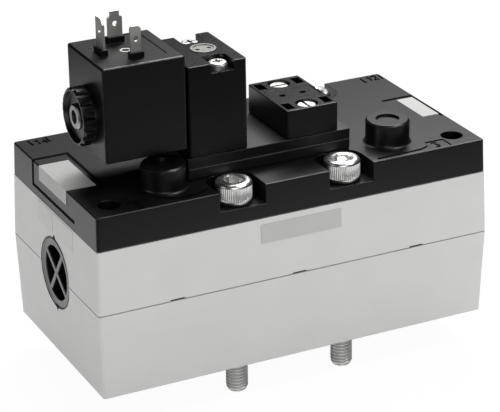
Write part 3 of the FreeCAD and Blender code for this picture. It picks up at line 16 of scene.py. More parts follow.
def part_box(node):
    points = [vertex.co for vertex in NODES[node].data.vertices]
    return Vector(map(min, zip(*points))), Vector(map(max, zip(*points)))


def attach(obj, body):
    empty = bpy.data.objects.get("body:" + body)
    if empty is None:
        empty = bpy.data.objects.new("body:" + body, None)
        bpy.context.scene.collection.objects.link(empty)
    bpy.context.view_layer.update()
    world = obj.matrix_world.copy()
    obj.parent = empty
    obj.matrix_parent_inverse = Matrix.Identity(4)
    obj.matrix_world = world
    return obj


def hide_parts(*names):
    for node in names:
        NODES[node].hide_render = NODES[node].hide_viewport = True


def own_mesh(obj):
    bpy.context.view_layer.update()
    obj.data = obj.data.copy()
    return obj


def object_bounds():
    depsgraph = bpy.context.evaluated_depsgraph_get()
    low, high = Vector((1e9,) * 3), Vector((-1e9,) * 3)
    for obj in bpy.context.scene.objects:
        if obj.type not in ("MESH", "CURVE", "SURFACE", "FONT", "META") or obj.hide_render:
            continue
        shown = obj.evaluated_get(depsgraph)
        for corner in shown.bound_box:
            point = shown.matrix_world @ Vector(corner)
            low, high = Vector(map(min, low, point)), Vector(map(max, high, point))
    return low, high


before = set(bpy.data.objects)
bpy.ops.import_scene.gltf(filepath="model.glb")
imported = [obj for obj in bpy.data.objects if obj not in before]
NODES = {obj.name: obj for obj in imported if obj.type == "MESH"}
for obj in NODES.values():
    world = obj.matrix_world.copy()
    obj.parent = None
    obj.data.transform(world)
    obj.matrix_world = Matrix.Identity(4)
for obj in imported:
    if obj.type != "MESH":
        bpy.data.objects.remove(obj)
cad_low, cad_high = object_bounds()
print("loaded", len(NODES), "nodes, size in mm", [round(v * 1000, 1) for v in cad_high - cad_low])

# %% [markdown]
# ## Units and colours
#
# CAD people think in millimetres and Blender in metres, so one factor does the change. Colours
# are written as the sRGB hex values that a colour picker shows. Shaders calculate in linear
# light, so one function turns a hex value into linear numbers.

# %% Units and colours
MM = 0.001


def linear(hex_colour):
    """An sRGB hex value as linear red, green, blue and alpha."""
    parts = [int(hex_colour[i:i + 2], 16) / 255 for i in (1, 3, 5)]
    light = [c / 12.92 if c <= 0.04045 else ((c + 0.055) / 1.055) ** 2.4 for c in parts]
    return (*light, 1.0)


print("mid grey", [round(c, 3) for c in linear("#bcbcbc")])

# %% [markdown]
# ## One function for every shader node
#
# A material is a graph of nodes. Instead of one function per kind of node, a single small one
# makes any node, sets its options, and fills or links its inputs. That keeps each material
# short enough to read as a recipe.

# %% A function that adds a node


def add_node(tree, kind, inputs=None, **settings):
    """Add a shader node; an input is either a value or another node's output."""
    node = tree.nodes.new("ShaderNode" + kind)
    for name, value in settings.items():
        setattr(node, name, value)
    for name, value in (inputs or {}).items():
        if isinstance(value, bpy.types.NodeSocket):
            tree.links.new(value, node.inputs[name])
        else:
            node.inputs[name].default_value = value
    return node


def start_material(name):
    """An empty material, and the object's coordinates in metres."""
    material = bpy.data.materials.new(name)
    material.use_nodes = True
    tree = material.node_tree
    tree.nodes.clear()
    place = add_node(tree, "TexCoord").outputs["Object"]
    return material, tree, place


def per_mm(size_mm):
    """The texture scale at which one feature of a noise is about this many millimetres."""
    return 1 / (size_mm * MM)


print("a 0.5 mm grain has scale", per_mm(0.5))

# %% [markdown]
# ## The grain that moulded and cast surfaces share
#
# Almost every surface here came out of a steel mould, so it carries the mould's spark-eroded
# grain: shallow, even bumps about a tenth of a millimetre across. A picture of this size can't
# show that, so they are drawn several times as coarse. The recipe mixes two shades so slightly
# that one sees it only as life in the surface, varies the gloss, and adds the bumps. The edges
# get a small rounding through the Bevel node, because no real edge is sharp enough to stay
# dark, and the thin light line along it tells the eye how big the thing is.

# %% A surface with grain
PATCH_MM, ROUGH_SPREAD = 12.0, 0.05


def grained(name, shade, mottle, roughness, grain_mm, grain_depth_mm, edge_mm,
            metallic=0.0, ior=1.5):
    """A Principled material with mottled colour, uneven gloss, grain and soft edges."""
    material, tree, place = start_material(name)
    patches = add_node(tree, "TexNoise", {"Vector": place, "Scale": per_mm(PATCH_MM),
                                          "Detail": 4.0})
    grain = add_node(tree, "TexNoise", {"Vector": place, "Scale": per_mm(grain_mm), "Detail": 3.0,
                                        "Roughness": 0.6})
    colour = add_node(tree, "Mix", {0: patches.outputs["Fac"], 6: linear(shade),
                                    7: linear(mottle)}, data_type="RGBA")
    # A noise keeps mostly between 0.3 and 0.7, so that stretch is spread over the gloss.
    gloss = add_node(tree, "MapRange", {"Value": grain.outputs["Fac"], "From Min": 0.3,
                                        "From Max": 0.7, "To Min": roughness - ROUGH_SPREAD,
                                        "To Max": roughness + ROUGH_SPREAD})
    edges = add_node(tree, "Bevel", {"Radius": edge_mm * MM}, samples=4)
    bumps = add_node(tree, "Bump", {"Height": grain.outputs["Fac"], "Strength": 0.6,
                                    "Distance": grain_depth_mm * MM,
                                    "Normal": edges.outputs["Normal"]})
    shader = add_node(tree, "BsdfPrincipled", {"Base Color": colour.outputs[2],
                                               "Roughness": gloss.outputs["Result"],
                                               "Normal": bumps.outputs["Normal"],
                                               "Metallic": metallic})
    if not metallic:
        shader.inputs["IOR"].default_value = ior
    add_node(tree, "OutputMaterial", {"Surface": shader.outputs["BSDF"]})
    return material


def principled(material):
    """The Principled shader of a material that exists already."""
    return next(n for n in material.node_tree.nodes if n.bl_idname == "ShaderNodeBsdfPrincipled")


print("recipe ready: two noises, one bevel and one bump for each grained surface")

# %% [markdown]
# ## The finishes of cast and moulded parts
#
# Each one starts from the real material and from how its surface was made.
#
# - Housings: aluminium, pressure die-cast, blasted and sprayed with matt lacquer. It scatters
#   nearly all light, so the eye sees one even light grey and hardly a reflection.
# - Cover: glass-filled nylon, injection moulded. Almost no light comes out of the body of the
#   material. What one sees of it is the room in its surface, so its gloss decides its look.
# - Pilot valve and blanking block: the same nylon from a finer mould, which shows the lamps
#   more clearly. Adapter plate: the same nylon from a coarser one, which shows them as a haze.
# - Coil and coil nut: epoxy, moulded round the winding. It is just as black and a little
#   duller than the pilot valve beside it.
# - Drive piston and cylinder: grey acetal, turned. It looks waxy.
# - Seals and gaskets: nitrile rubber, pressed hot. Black and dull, it draws each joint as a
#   fine dark line.
# - Raised marks and label frames: a rough matt black with a very low specular level, so it
#   gives back so little light that it reads as a line blacker than the cover round it. The low
#   specular level is painted shade: it stands for the shade on the sides of the ribs and in the
#   grooves.

# %% Finishes of cast and moulded parts
cast_lacquer = grained("matt_lacquer_on_die_cast_aluminium", "#c0c0be", "#b9b9b8", roughness=0.62,
                       grain_mm=0.6, grain_depth_mm=0.05, edge_mm=0.5, ior=1.42)
cover_nylon = grained("glass_filled_nylon_cover", "#030303", "#050505", roughness=0.38,
                      grain_mm=0.5, grain_depth_mm=0.004, edge_mm=0.4)
valve_nylon = grained("glass_filled_nylon_valve", "#030303", "#040404", roughness=0.3,
                      grain_mm=0.5, grain_depth_mm=0.0012, edge_mm=0.3)
plate_nylon = grained("glass_filled_nylon_plate", "#030303", "#040404", roughness=0.45,
                      grain_mm=0.5, grain_depth_mm=0.003, edge_mm=0.35)
coil_epoxy = grained("coil_encapsulation", "#030303", "#040404", roughness=0.36,
                     grain_mm=0.5, grain_depth_mm=0.003, edge_mm=0.35)
insert_acetal = grained("grey_acetal", "#6a6a69", "#737372", roughness=0.42,
                        grain_mm=0.5, grain_depth_mm=0.01, edge_mm=0.25, ior=1.48)
nitrile = grained("nitrile_rubber", "#040404", "#070707", roughness=0.6,
                  grain_mm=0.3, grain_depth_mm=0.02, edge_mm=0.1)
painted_shade_black = grained("matt_black_painted_shade", "#020202", "#030303", roughness=0.85,
                   grain_mm=0.5, grain_depth_mm=0.004, edge_mm=0.1)
# Painted shade: the very low specular level keeps the marks and frame strips darker than the cover
# round them.
principled(painted_shade_black).inputs["Specular IOR Level"].default_value = 0.06
print("materials so far, with those of the CAD model:", len(bpy.data.materials))

# %% [markdown]
# The vent insert is moulded in acetal too. Its inside is painted shade: a Map Range on the X
# coordinate fades the grey to nearly black behind the face of the spokes, from half a
# millimetre in, where the bore lies in shade.

# %% The finish of the vent insert, with painted shade inside
# Where the painted shade inside the bore starts and where it is full, on X in mm.
SHADE_STARTS_X, SHADE_FULL_X = -75.5, -75.2
vent_acetal = grained("grey_acetal_with_painted_shade_inside", "#5c5c5b", "#646463", roughness=0.42,
                      grain_mm=0.5, grain_depth_mm=0.01, edge_mm=0.25, ior=1.48)
tree = vent_acetal.node_tree
shader = principled(vent_acetal)
unshaded_grey = shader.inputs["Base Color"].links[0].from_socket
place = add_node(tree, "TexCoord").outputs["Object"]
along = add_node(tree, "SeparateXYZ", {"Vector": place})
painted_shade_fade = add_node(tree, "MapRange", {"Value": along.outputs["X"], "From Min": SHADE_STARTS_X * MM,
                                   "From Max": SHADE_FULL_X * MM})
# Painted shade: past the spokes' face the colour turns nearly black, standing in for the shade inside
# the bore.
shade = add_node(tree, "Mix", {0: painted_shade_fade.outputs["Result"], 6: unshaded_grey, 7: linear("#050505")},
                 data_type="RGBA")
tree.links.new(shade.outputs[2], shader.inputs["Base Color"])
print("vent insert is dark behind X", SHADE_FULL_X, "mm")

# %% [markdown]
# ## Metals
#
# Turned, rolled and plated metal is made by the same recipe with the metallic value at 1, so
# that its colour tints the reflection. Its bumps are the marks of the tool, drawn coarser than
# they are but very shallow.
#
# - Threads of the body screws: steel, rolled and zinc plated. The flanks send light to all
#   sides, so a thread looks greyer than the head above it.
# - Small screws and the coil's thread insert: steel with satin zinc, a soft shine without hot
#   spots.
# - Heads of the body screws: cold-headed steel with bright zinc. Nearly white, they pick up
#   every lamp.
# - Core, tube and plunger: turned stainless steel, darker and a little warm.
# - Springs: drawn spring steel. Each turn shows one clean line of light.
# - Spool and sleeve: aluminium, turned and anodised, an even pale grey.
# - Valve seat: turned brass, the only yellow metal.
# - Plug blades: stamped from tinned copper strip, pale and soft.
# - Override knob: blasted, then nickel plated, a quiet grey disc in the black pilot valve.

# %% Metal finishes
rolled_thread = grained("rolled_thread_zinc_plated", "#cececc", "#bcbcba", roughness=0.36,
                        grain_mm=0.6, grain_depth_mm=0.004, edge_mm=0.1, metallic=1.0)
satin_zinc = grained("satin_zinc_plated_steel", "#c4c4c2", "#b8b8b6", roughness=0.45,
                     grain_mm=0.6, grain_depth_mm=0.001, edge_mm=0.1, metallic=1.0)
zinc_steel = grained("bright_zinc_plated_steel", "#f5f5f3", "#efefed", roughness=0.3,
                     grain_mm=0.6, grain_depth_mm=0.0004, edge_mm=0.15, metallic=1.0)
stainless = grained("turned_stainless_steel", "#a2a19f", "#969593", roughness=0.34,
                    grain_mm=0.5, grain_depth_mm=0.006, edge_mm=0.15, metallic=1.0)
spring_steel = grained("drawn_spring_steel", "#9c9d9f", "#8c8d8f", roughness=0.3,
                       grain_mm=0.5, grain_depth_mm=0.006, edge_mm=0.05, metallic=1.0)
anodised = grained("anodised_aluminium", "#a9abac", "#9fa1a2", roughness=0.35,
                   grain_mm=0.6, grain_depth_mm=0.006, edge_mm=0.15, metallic=1.0)
brass = grained("turned_brass", "#c9a961", "#bb9b55", roughness=0.28,
                grain_mm=0.5, grain_depth_mm=0.006, edge_mm=0.1, metallic=1.0)
tinned_copper = grained("tinned_contact_strip", "#e6e5e0", "#d8d7d2", roughness=0.5,
                        grain_mm=0.6, grain_depth_mm=0.002, edge_mm=0.08, metallic=1.0)
nickel = grained("blasted_nickel_plated_knob", "#8f8e8b", "#868582", roughness=0.42,
                 grain_mm=0.35, grain_depth_mm=0.001, edge_mm=0.12, metallic=1.0)
print("materials so far:", len(bpy.data.materials))

# %% [markdown]
# ## Label films
#
# The labels are polyester films: silver on the cover, grey on the front, clear on the left
# end. They are left bare here, so only their flat, slightly uneven tone and another gloss tell
# them from the parts below.

# %% Label films
label_film = grained("silver_label_film", "#a4a4a2", "#9d9d9b", roughness=0.6,
                     grain_mm=0.8, grain_depth_mm=0.003, edge_mm=0.05)
label_grey = grained("grey_label_film", "#ababa9", "#a5a5a3", roughness=0.5,
                     grain_mm=0.8, grain_depth_mm=0.003, edge_mm=0.05)
end_film = grained("clear_label_film", "#b0b0ae", "#aaaaa8", roughness=0.4,
                   grain_mm=0.8, grain_depth_mm=0.003, edge_mm=0.05)
print("materials so far:", len(bpy.data.materials))

# %% [markdown]
# ## Each CAD body gets its finish
#
# A table says which node is made of what. The meshes are not touched: only their material
# slots are filled.

# %% Assign the finishes
FINISH = {
    cast_lacquer: ["lower_housing", "upper_housing"],
    cover_nylon: ["cover"],
    valve_nylon: ["pilot_body", "blanking_block"],
    plate_nylon: ["adapter_plate"],
    coil_epoxy: ["coil_housing", "coil_nut"],
    vent_acetal: ["vent_insert"],
    insert_acetal: ["drive_cylinder", "drive_piston"],
    nitrile: ["base_gasket", "housing_gasket", "cover_gasket", "plate_gasket", "pilot_gasket",
              "block_gasket", "coil_seal", "spool_seals", "piston_seal", "left_end_seal",
              "right_end_seal", "plunger_pad"],
    zinc_steel: ["body_screws"],
    satin_zinc: ["pilot_screws", "block_screws", "thread_insert"],
    nickel: ["override_knob"],
    stainless: ["fixed_core", "armature_tube", "plunger"],
    spring_steel: ["return_spring", "plunger_spring"],
    anodised: ["spool_sleeve", "main_spool"],
    brass: ["valve_seat"],
    tinned_copper: ["front_blade", "rear_blade", "earth_blade"],
    label_film: ["left_label", "right_label"],
    label_grey: ["front_label"],
}
for finish, names in FINISH.items():
    for name in names:
        slots = NODES[name].data.materials
        slots.clear()
        slots.append(finish)
bare = sorted(set(NODES) - {name for names in FINISH.values() for name in names})
print("nodes without a finish:", bare)

# %% [markdown]
# ## Turning a mesh on a lathe
#
# Screws are turned and rolled parts, so one small lathe makes them all. It stacks rings of
# points from a list of heights and radii, and joins each ring to the next with four-sided
# faces. A radius may also be a function of the angle: that is how the same lathe makes a
# knurl, a thread and a hexagon socket.

# %% A lathe
SHARP_ANGLE = math.radians(40)


def lathe(name, rings, sides, finish):
    """A closed mesh from rings of (height, radius) in mm; a radius may be a function."""
    points = []
    for height, radius in rings:
        for step in range(sides):
            angle = 2 * math.pi * step / sides
            reach = radius(angle) if callable(radius) else radius
            points.append((reach * math.cos(angle) * MM, reach * math.sin(angle) * MM, height * MM))
    faces = [tuple(reversed(range(sides)))]
    for row in range(len(rings) - 1):
        for step in range(sides):
            here, there = row * sides + step, row * sides + (step + 1) % sides
            faces.append((here, there, there + sides, here + sides))
    last = (len(rings) - 1) * sides
    faces.append(tuple(range(last, last + sides)))
    mesh = bpy.data.meshes.new(name)
    mesh.from_pydata(points, [], faces)
    mesh.materials.append(finish)
    mesh.shade_smooth()
    mesh.set_sharp_from_angle(angle=SHARP_ANGLE)
    return mesh


def add_piece(name, data, body, replaced=None, place=(0, 0, 0)):
    """Put a mesh or curve in the scene on a CAD body."""
    piece = bpy.data.objects.new(name, data)
    piece.location = Vector(place) * MM
    bpy.context.scene.collection.objects.link(piece)
    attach(piece, body)
    if replaced:
        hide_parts(replaced)
    return piece


print("the lathe is ready")

# %% [markdown]
# ## The four body screws
#
# These are M8 socket head screws. Their heads have a straight knurl so that fingers can spin
# them, a smooth rim above it and a smooth band below, and a 6 mm hexagon socket. Nothing else
# on the valve is as bright, so the eye goes to them first, and real teeth that cast light and
# shade look better here than a bump.

# %% The head of a body screw
SEAT, HEAD_TOP, HEAD_RADIUS, TEETH = 60.5, 68.5, 6.6, 54
TOOTH_DEPTH, SIDES_PER_TOOTH = 0.42, 6
SOCKET_WIDTH, SOCKET_DEPTH = 6.0, 4.0


def knurl(depth):
    """A head radius that dips by depth between the teeth."""
    def radius(angle):
        phase = (angle * TEETH / (2 * math.pi)) % 1
        return HEAD_RADIUS - depth * (1 - abs(2 * phase - 1))
    return radius


def hexagon(across):
    """The radius of a hexagon at an angle."""
    def radius(angle):
        turned = (angle + math.pi / 6) % (math.pi / 3) - math.pi / 6
        return across / 2 / math.cos(turned)
    return radius


knurled, socket = knurl(TOOTH_DEPTH), hexagon(SOCKET_WIDTH)
under_head = [(SEAT, 5.3), (SEAT + 0.12, 5.8), (SEAT + 0.5, 6.25), (SEAT + 1.1, 6.42),
              (SEAT + 1.5, 6.45)]
grip = [(SEAT + 1.75, knurled), (HEAD_TOP - 1.5, knurled)]
rim = [(HEAD_TOP - 1.3, 6.5), (HEAD_TOP - 0.95, 6.45), (HEAD_TOP - 0.6, 6.25),
       (HEAD_TOP - 0.28, 5.85), (HEAD_TOP - 0.08, 5.4), (HEAD_TOP, 5.05), (HEAD_TOP, 4.1)]
inside = [(HEAD_TOP - 0.05, 3.9), (HEAD_TOP - 0.35, socket), (HEAD_TOP - SOCKET_DEPTH, socket),
          (HEAD_TOP - 4.05, 2.7), (HEAD_TOP - 5.0, 0.3)]
head_rings = under_head + grip + rim + inside
head_mesh = lathe("body_screw_head", head_rings, TEETH * SIDES_PER_TOOTH, zinc_steel)
print("head faces:", len(head_mesh.polygons))

# %% [markdown]
# The thread is an M8 thread with a pitch of 1.25 mm. A screw thread is a wave that climbs by
# one pitch per turn, so the radius at a point depends on height and angle together. The wave is
# a triangle with its tips cut off. The end is rounded off, as rolled screws are.

# %% The threaded end of a body screw
PITCH, CREST, ROOT, TIP = 1.25, 4.0, 3.25, -12.7
FLANK_STRETCH, ROOT_CUT = 1.35, 0.12
END_RADIUS, END_HEIGHT, END_START = 2.6, 2.0, 0.02
TIP_RADIUS, SHANK_RADIUS, SHANK_FOOT = 1.0, 3.6, 2.0
STEPS_PER_PITCH, THREAD_STEPS, THREAD_SIDES = 10, 113, 48
SCREW_PLACES = {"front_left": (-21.1, -31.45), "front_right": (21.1, -31.45),
                "rear_left": (-42.8, 31.45), "rear_right": (42.8, 31.45)}


def thread(height):
    """The thread's radius at this height, as a function of the angle."""
    def radius(angle):
        phase = (height / PITCH - angle / (2 * math.pi)) % 1
        flank = FLANK_STRETCH * (1 - abs(2 * phase - 1)) - ROOT_CUT
        climb = min(1.0, (height - TIP + END_START) / END_HEIGHT)
        rounded_end = END_RADIUS + (CREST - END_RADIUS) * math.sqrt(climb)
        return min(ROOT + (CREST - ROOT) * min(1.0, max(0.0, flank)), rounded_end)
    return radius


stud_rings = [(TIP, TIP_RADIUS)]
for step in range(THREAD_STEPS):
    height = TIP + PITCH * step / STEPS_PER_PITCH
    stud_rings.append((height, thread(height)))
stud_rings += [(SHANK_FOOT, SHANK_RADIUS), (SEAT, SHANK_RADIUS)]
stud_mesh = lathe("body_screw_thread", stud_rings, THREAD_SIDES, rolled_thread)
for label, (x, y) in SCREW_PLACES.items():
    add_piece("screw_head_" + label, head_mesh, "valve", "body_screws", (x, y, 0))
    add_piece("screw_thread_" + label, stud_mesh, "valve", "body_screws", (x, y, 0))
print("thread faces:", len(stud_mesh.polygons))

# %% [markdown]
# ## The springs
#
# Behind the spokes of the vent insert one sees the coils of the spring that pushes the spool
# back. It is made as a round wire swept along a helix whose end turns lie close together, as
# the flat ends of a real compression spring do. The small spring inside the pilot's plunger is
# made the same way.

# %% The springs
TURNS, STEPS_PER_TURN, WIRE_SIDES = 6, 28, 10
CLOSED_PITCH = 1.02
# For each spring: the radius of its coil, the wire, its joint and how far that moves, in mm.
SPRINGS = {"return_spring": (5.2, 1.4, "spool_shift", 8.0),
           "plunger_spring": (1.9, 0.5, "plunger_lift", 0.8)}


def spring_mesh(name, start, end, axis, radius, wire, finish):
    """A round wire along a helix on X, with one closed turn at each end."""
    middle_y, middle_z = axis
    steps = TURNS * STEPS_PER_TURN
    slow = wire * CLOSED_PITCH / STEPS_PER_TURN
    fast = (end - start - wire - 2 * STEPS_PER_TURN * slow) / (steps - 2 * STEPS_PER_TURN)
    points, faces, along = [], [], start + wire / 2
    for step in range(steps + 1):
        turn = 2 * math.pi * step / STEPS_PER_TURN
        for corner in range(WIRE_SIDES):
            roll = 2 * math.pi * corner / WIRE_SIDES
            reach = radius + wire / 2 * math.cos(roll)
            points.append(((along + wire / 2 * math.sin(roll)) * MM,
                           (middle_y + reach * math.cos(turn)) * MM,
                           (middle_z + reach * math.sin(turn)) * MM))
        along += slow if step < STEPS_PER_TURN or step >= steps - STEPS_PER_TURN else fast
    for step in range(steps):
        for corner in range(WIRE_SIDES):
            here = step * WIRE_SIDES + corner
            there = step * WIRE_SIDES + (corner + 1) % WIRE_SIDES
            faces.append((here, here + WIRE_SIDES, there + WIRE_SIDES, there))
    faces.append(tuple(range(WIRE_SIDES)))
    faces.append(tuple(reversed(range(steps * WIRE_SIDES, (steps + 1) * WIRE_SIDES))))
    mesh = bpy.data.meshes.new(name)
    mesh.from_pydata(points, [], faces)
    mesh.materials.append(finish)
    mesh.shade_smooth()
    return mesh


for node, (radius, wire, joint, travel) in SPRINGS.items():
    low, high = [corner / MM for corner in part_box(node)]
    axis = ((low.y + high.y) / 2, (low.z + high.z) / 2)
    wire_mesh = spring_mesh(node + "_wire", low.x, high.x, axis, radius, wire, spring_steel)
    spring = add_piece(node + "_wire", wire_mesh, "valve", node)
    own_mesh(spring)
    print(node, "from", round(low.x, 1), "to", round(high.x, 1), "mm")

# %% [markdown]
# ## Raised marks on the cover
#
# The mould leaves low ribs on the cover: a bracket round a plain port number at each corner,
# and a curved line beside each boss. They are too fine for a solid model. They are drawn as thin
# round bars sunk halfway into the surface, in a matt black whose very low specular level is
# painted shade, so that they read as black lines in the sheen of the cover. A poly curve with a
# bevel is the quickest way to do that, and one curve object holds them all.

# %% Raised marks
COVER_TOP, MARK_RADIUS = 67.5, 0.36
DIGIT_HEIGHT, DIGIT_WIDTH, DIGIT_ADVANCE = 3.9, 2.6, 1.05
# The strokes of each figure, in shares of its width and height.
DIGITS = {
    "1": [(0.3, 0.75), (0.55, 1.0), (0.55, 0.0)],
    "2": [(0.0, 0.85), (0.2, 1.0), (0.6, 1.0), (0.7, 0.8), (0.6, 0.55), (0.0, 0.0), (0.7, 0.0)],
    "3": [(0.0, 1.0), (0.7, 1.0), (0.35, 0.6), (0.65, 0.45), (0.65, 0.15), (0.45, 0.0),
          (0.0, 0.05)],
    "4": [(0.55, 0.0), (0.55, 1.0), (0.0, 0.3), (0.75, 0.3)],
    "5": [(0.65, 1.0), (0.1, 1.0), (0.05, 0.55), (0.5, 0.6), (0.68, 0.35), (0.5, 0.0),
          (0.0, 0.05)],
}
NUMBERS = {"5": (-58.9, -37.3), "3": (56.2, -37.2), "14": (-68.6, 32.2), "12": (67.6, 32.8)}
MARK_LINES = [
    [(-61.4, -31.6), (-53.2, -31.9)],
    [(54.6, -31.9), (61.8, -31.9), (61.8, -37.6)],
    [(-70.3, 36.4), (-69.8, 32.2)],
    [(-63.2, 37.2), (-63.2, 32.7)],
    [(65.9, 36.2), (65.9, 31.6)],
    [(74.0, 36.6), (73.9, 32.8)],
    [(32.6, -36.9), (39.6, -36.7), (45.6, -36.7), (50.0, -36.4), (52.0, -35.8), (53.6, -34.9)],
    [(-50.0, -31.4), (-48.2, -32.9), (-45.8, -34.4), (-43.1, -35.4), (-40.3, -35.8), (-37.6, -35.6),
     (-34.6, -34.6), (-31.9, -33.0)],
]


def digit_lines(text, x, y):
    """The strokes of a plain number whose foot starts at x, y."""
    lines = []
    for place, figure in enumerate(text):
        start = x + place * DIGIT_WIDTH * DIGIT_ADVANCE
        lines.append([(start + a * DIGIT_WIDTH, y + b * DIGIT_HEIGHT) for a, b in DIGITS[figure]])
    return lines


def rib_curve(name, lines, radius, finish, closed=False):
    """Round bars along lines of points in mm, as one curve."""
    data = bpy.data.curves.new(name, "CURVE")
    data.dimensions = "3D"
    data.bevel_depth = radius * MM
    data.bevel_resolution = 2
    data.use_fill_caps = True
    for line in lines:
        spline = data.splines.new("POLY")
        spline.use_cyclic_u = closed
        spline.points.add(len(line) - 1)
        for point, (x, y, z) in zip(spline.points, line):
            point.co = (x * MM, y * MM, z * MM, 1)
    data.materials.append(finish)
    return data


marks = list(MARK_LINES)
for text, (x, y) in NUMBERS.items():
    marks += digit_lines(text, x, y)
marks = [[(x, y, COVER_TOP) for x, y in line] for line in marks]
mark_curve = rib_curve("cover_marks", marks, MARK_RADIUS, painted_shade_black)
add_piece("cover_marks", mark_curve, "valve")
print("raised lines:", len(marks))

# %% [markdown]
# ## Round the vent insert
#
# A thin ring in the black rubber material lies in the joint between the insert and the bore:
# it is painted shade, which draws the shade of that gap as a dark line. The same material fills
# the small notches over and under the insert as painted shade, so that they show as dark
# points. A notch is a triangle, so its filling is a flat outline pushed straight back.

# %% Painted shade round the vent insert
BORE_Z, SHADE_RING_X, SHADE_RING_RADIUS, SHADE_RING_THICK, SHADE_RING_STEPS = 31.85, -76.05, 13.0, 0.14, 72
NOTCH_X, NOTCH_HALF, NOTCH_ROOT, NOTCH_TIP, NOTCH_DEPTH = -75.85, 1.7, 12.7, 14.55, 1.5


def slab(name, corners, push, finish):
    """A thin plate: flat corners in mm, and the same corners pushed along a vector."""
    count = len(corners)
    points = [Vector(c) * MM for c in corners] + [(Vector(c) + Vector(push)) * MM for c in corners]
    faces = [tuple(reversed(range(count))), tuple(range(count, 2 * count))]
    faces += [(k, (k + 1) % count, count + (k + 1) % count, count + k) for k in range(count)]
    mesh = bpy.data.meshes.new(name)
    mesh.from_pydata(points, [], faces)
    mesh.materials.append(finish)
    return mesh


# Painted shade: a dark ring in the gap round the insert.
gap_shade = []
for step in range(SHADE_RING_STEPS):
    angle = math.tau * step / SHADE_RING_STEPS
    gap_shade.append((SHADE_RING_X, SHADE_RING_RADIUS * math.cos(angle), BORE_Z + SHADE_RING_RADIUS * math.sin(angle)))
gap_shade_curve = rib_curve("insert_gap_painted_shade", [gap_shade], SHADE_RING_THICK, nitrile, closed=True)
add_piece("insert_gap_painted_shade", gap_shade_curve, "valve")
for name, side in (("lower_notch_painted_shade", -1), ("upper_notch_painted_shade", 1)):
    root, tip = BORE_Z + side * NOTCH_ROOT, BORE_Z + side * NOTCH_TIP
    corners = [(NOTCH_X, -NOTCH_HALF, root), (NOTCH_X, NOTCH_HALF, root), (NOTCH_X, 0.0, tip)]
    notch_shade = slab(name, corners, (NOTCH_DEPTH, 0, 0), nitrile)
    add_piece(name, notch_shade, "valve")
print("lip of", len(gap_shade), "points")

# %% [markdown]
# ## The film on the left end
#
# Under the cover the left end carries a thin film in two fields, almost as light as the
# lacquer. It is left bare. The housing is cast, so its walls lean by 0.031 mm per mm of height
# to let it out of the mould, and the film leans with the wall.

# %% The film on the left end
WALL_LEAN, HOUSING_FOOT_Z, HOUSING_FOOT_X = 0.031, 32.0, 76.2
FILM_LOW, FILM_HIGH, FILM_THICK = 46.6, 54.4, 0.09
FILMS = {"end_film_small": (1.4, 15.0), "end_film_large": (-17.6, 0.4)}


def end_wall(height):
    """X of the upper housing's left wall at a height in mm."""
    return -(HOUSING_FOOT_X - WALL_LEAN * (height - HOUSING_FOOT_Z))


def wall_field(wall, front, rear, low, high):
    """The corners of a field on the left end; wall gives X at a height."""
    return [(wall(z), y, z) for y, z in ((rear, low), (front, low), (front, high), (rear, high))]


for name, (front, rear) in FILMS.items():
    corners = wall_field(end_wall, front, rear, FILM_LOW, FILM_HIGH)
    add_piece(name, slab(name, corners, (-FILM_THICK, 0, 0), end_film), "valve")
print("films on the left end:", len(FILMS))

# %% [markdown]
# ## The frames round the label fields
#
# The frames are engraved in the cover. Strips of the same matt black as the raised marks fill
# them up to the surface: they are painted shade, dark sheets put where the grooves only hold
# shade. The strips are wider than the grooves, as the dark lines on the real cover are. On
# the end face the strips lean with the wall.

# %% Painted shade strips in the label frames
COVER_TOP_X = 75.03
STRIP_RISE, STRIP_DEPTH = 0.03, 0.45
# On the top: left, right, front and rear end of each strip.
STRIPS = {"cross_left": (-74.7, -61.3, 18.5, 20.3), "long_left": (-62.7, -61.3, -9.7, 18.5),
          "cross_right": (61.6, 74.6, 10.8, 12.4), "long_right": (73.3, 74.6, -11.3, 10.8)}
# On the end face: front, rear, lower and upper end of each strip.
END_STRIPS = {"post_left": (18.5, 20.3, 59.1, 67.2), "foot_left": (-19.2, 20.3, 57.8, 59.1)}


def cover_wall(height):
    """X of the cover's left wall at a height in mm, a hair outside."""
    return -(COVER_TOP_X + WALL_LEAN * (COVER_TOP - height))


def add_painted_shade_strip(name, corners, push):
    """Put a painted shade strip of a label frame on the valve."""
    add_piece("frame_" + name, slab(name, corners, push, painted_shade_black), "valve")


strip_top = COVER_TOP + STRIP_RISE
for name, (left, right, front, rear) in STRIPS.items():
    corners = [(left, front, strip_top), (right, front, strip_top), (right, rear, strip_top),
               (left, rear, strip_top)]
    add_painted_shade_strip(name, corners, (0, 0, -STRIP_DEPTH))
for name, (front, rear, low, high) in END_STRIPS.items():
    add_painted_shade_strip(name, wall_field(cover_wall, front, rear, low, high), (STRIP_DEPTH, 0, 0))
print("strips:", len(STRIPS) + len(END_STRIPS))

# %% [markdown]
# ## Floor
#
# The object stands on white paper. To the camera the paper is simply white, with a share of
# real shading so that it keeps a faint shadow. Shiny things see it too, with a painted pool of
# light: round the object the paper glows, and farther out the glow falls off to the dark
# room's level, which is why the upright black faces stay black. The painted pool is an
# ellipse, measured from its middle with a Vector Math node.

# %% Floor
FLOOR_HALF, FLOOR_GAP = 3.0, 0.0002
PATCH_MIDDLE, PATCH_RADII = (0.08, 0.09, 0.0), (0.36, 0.273, 1.0)
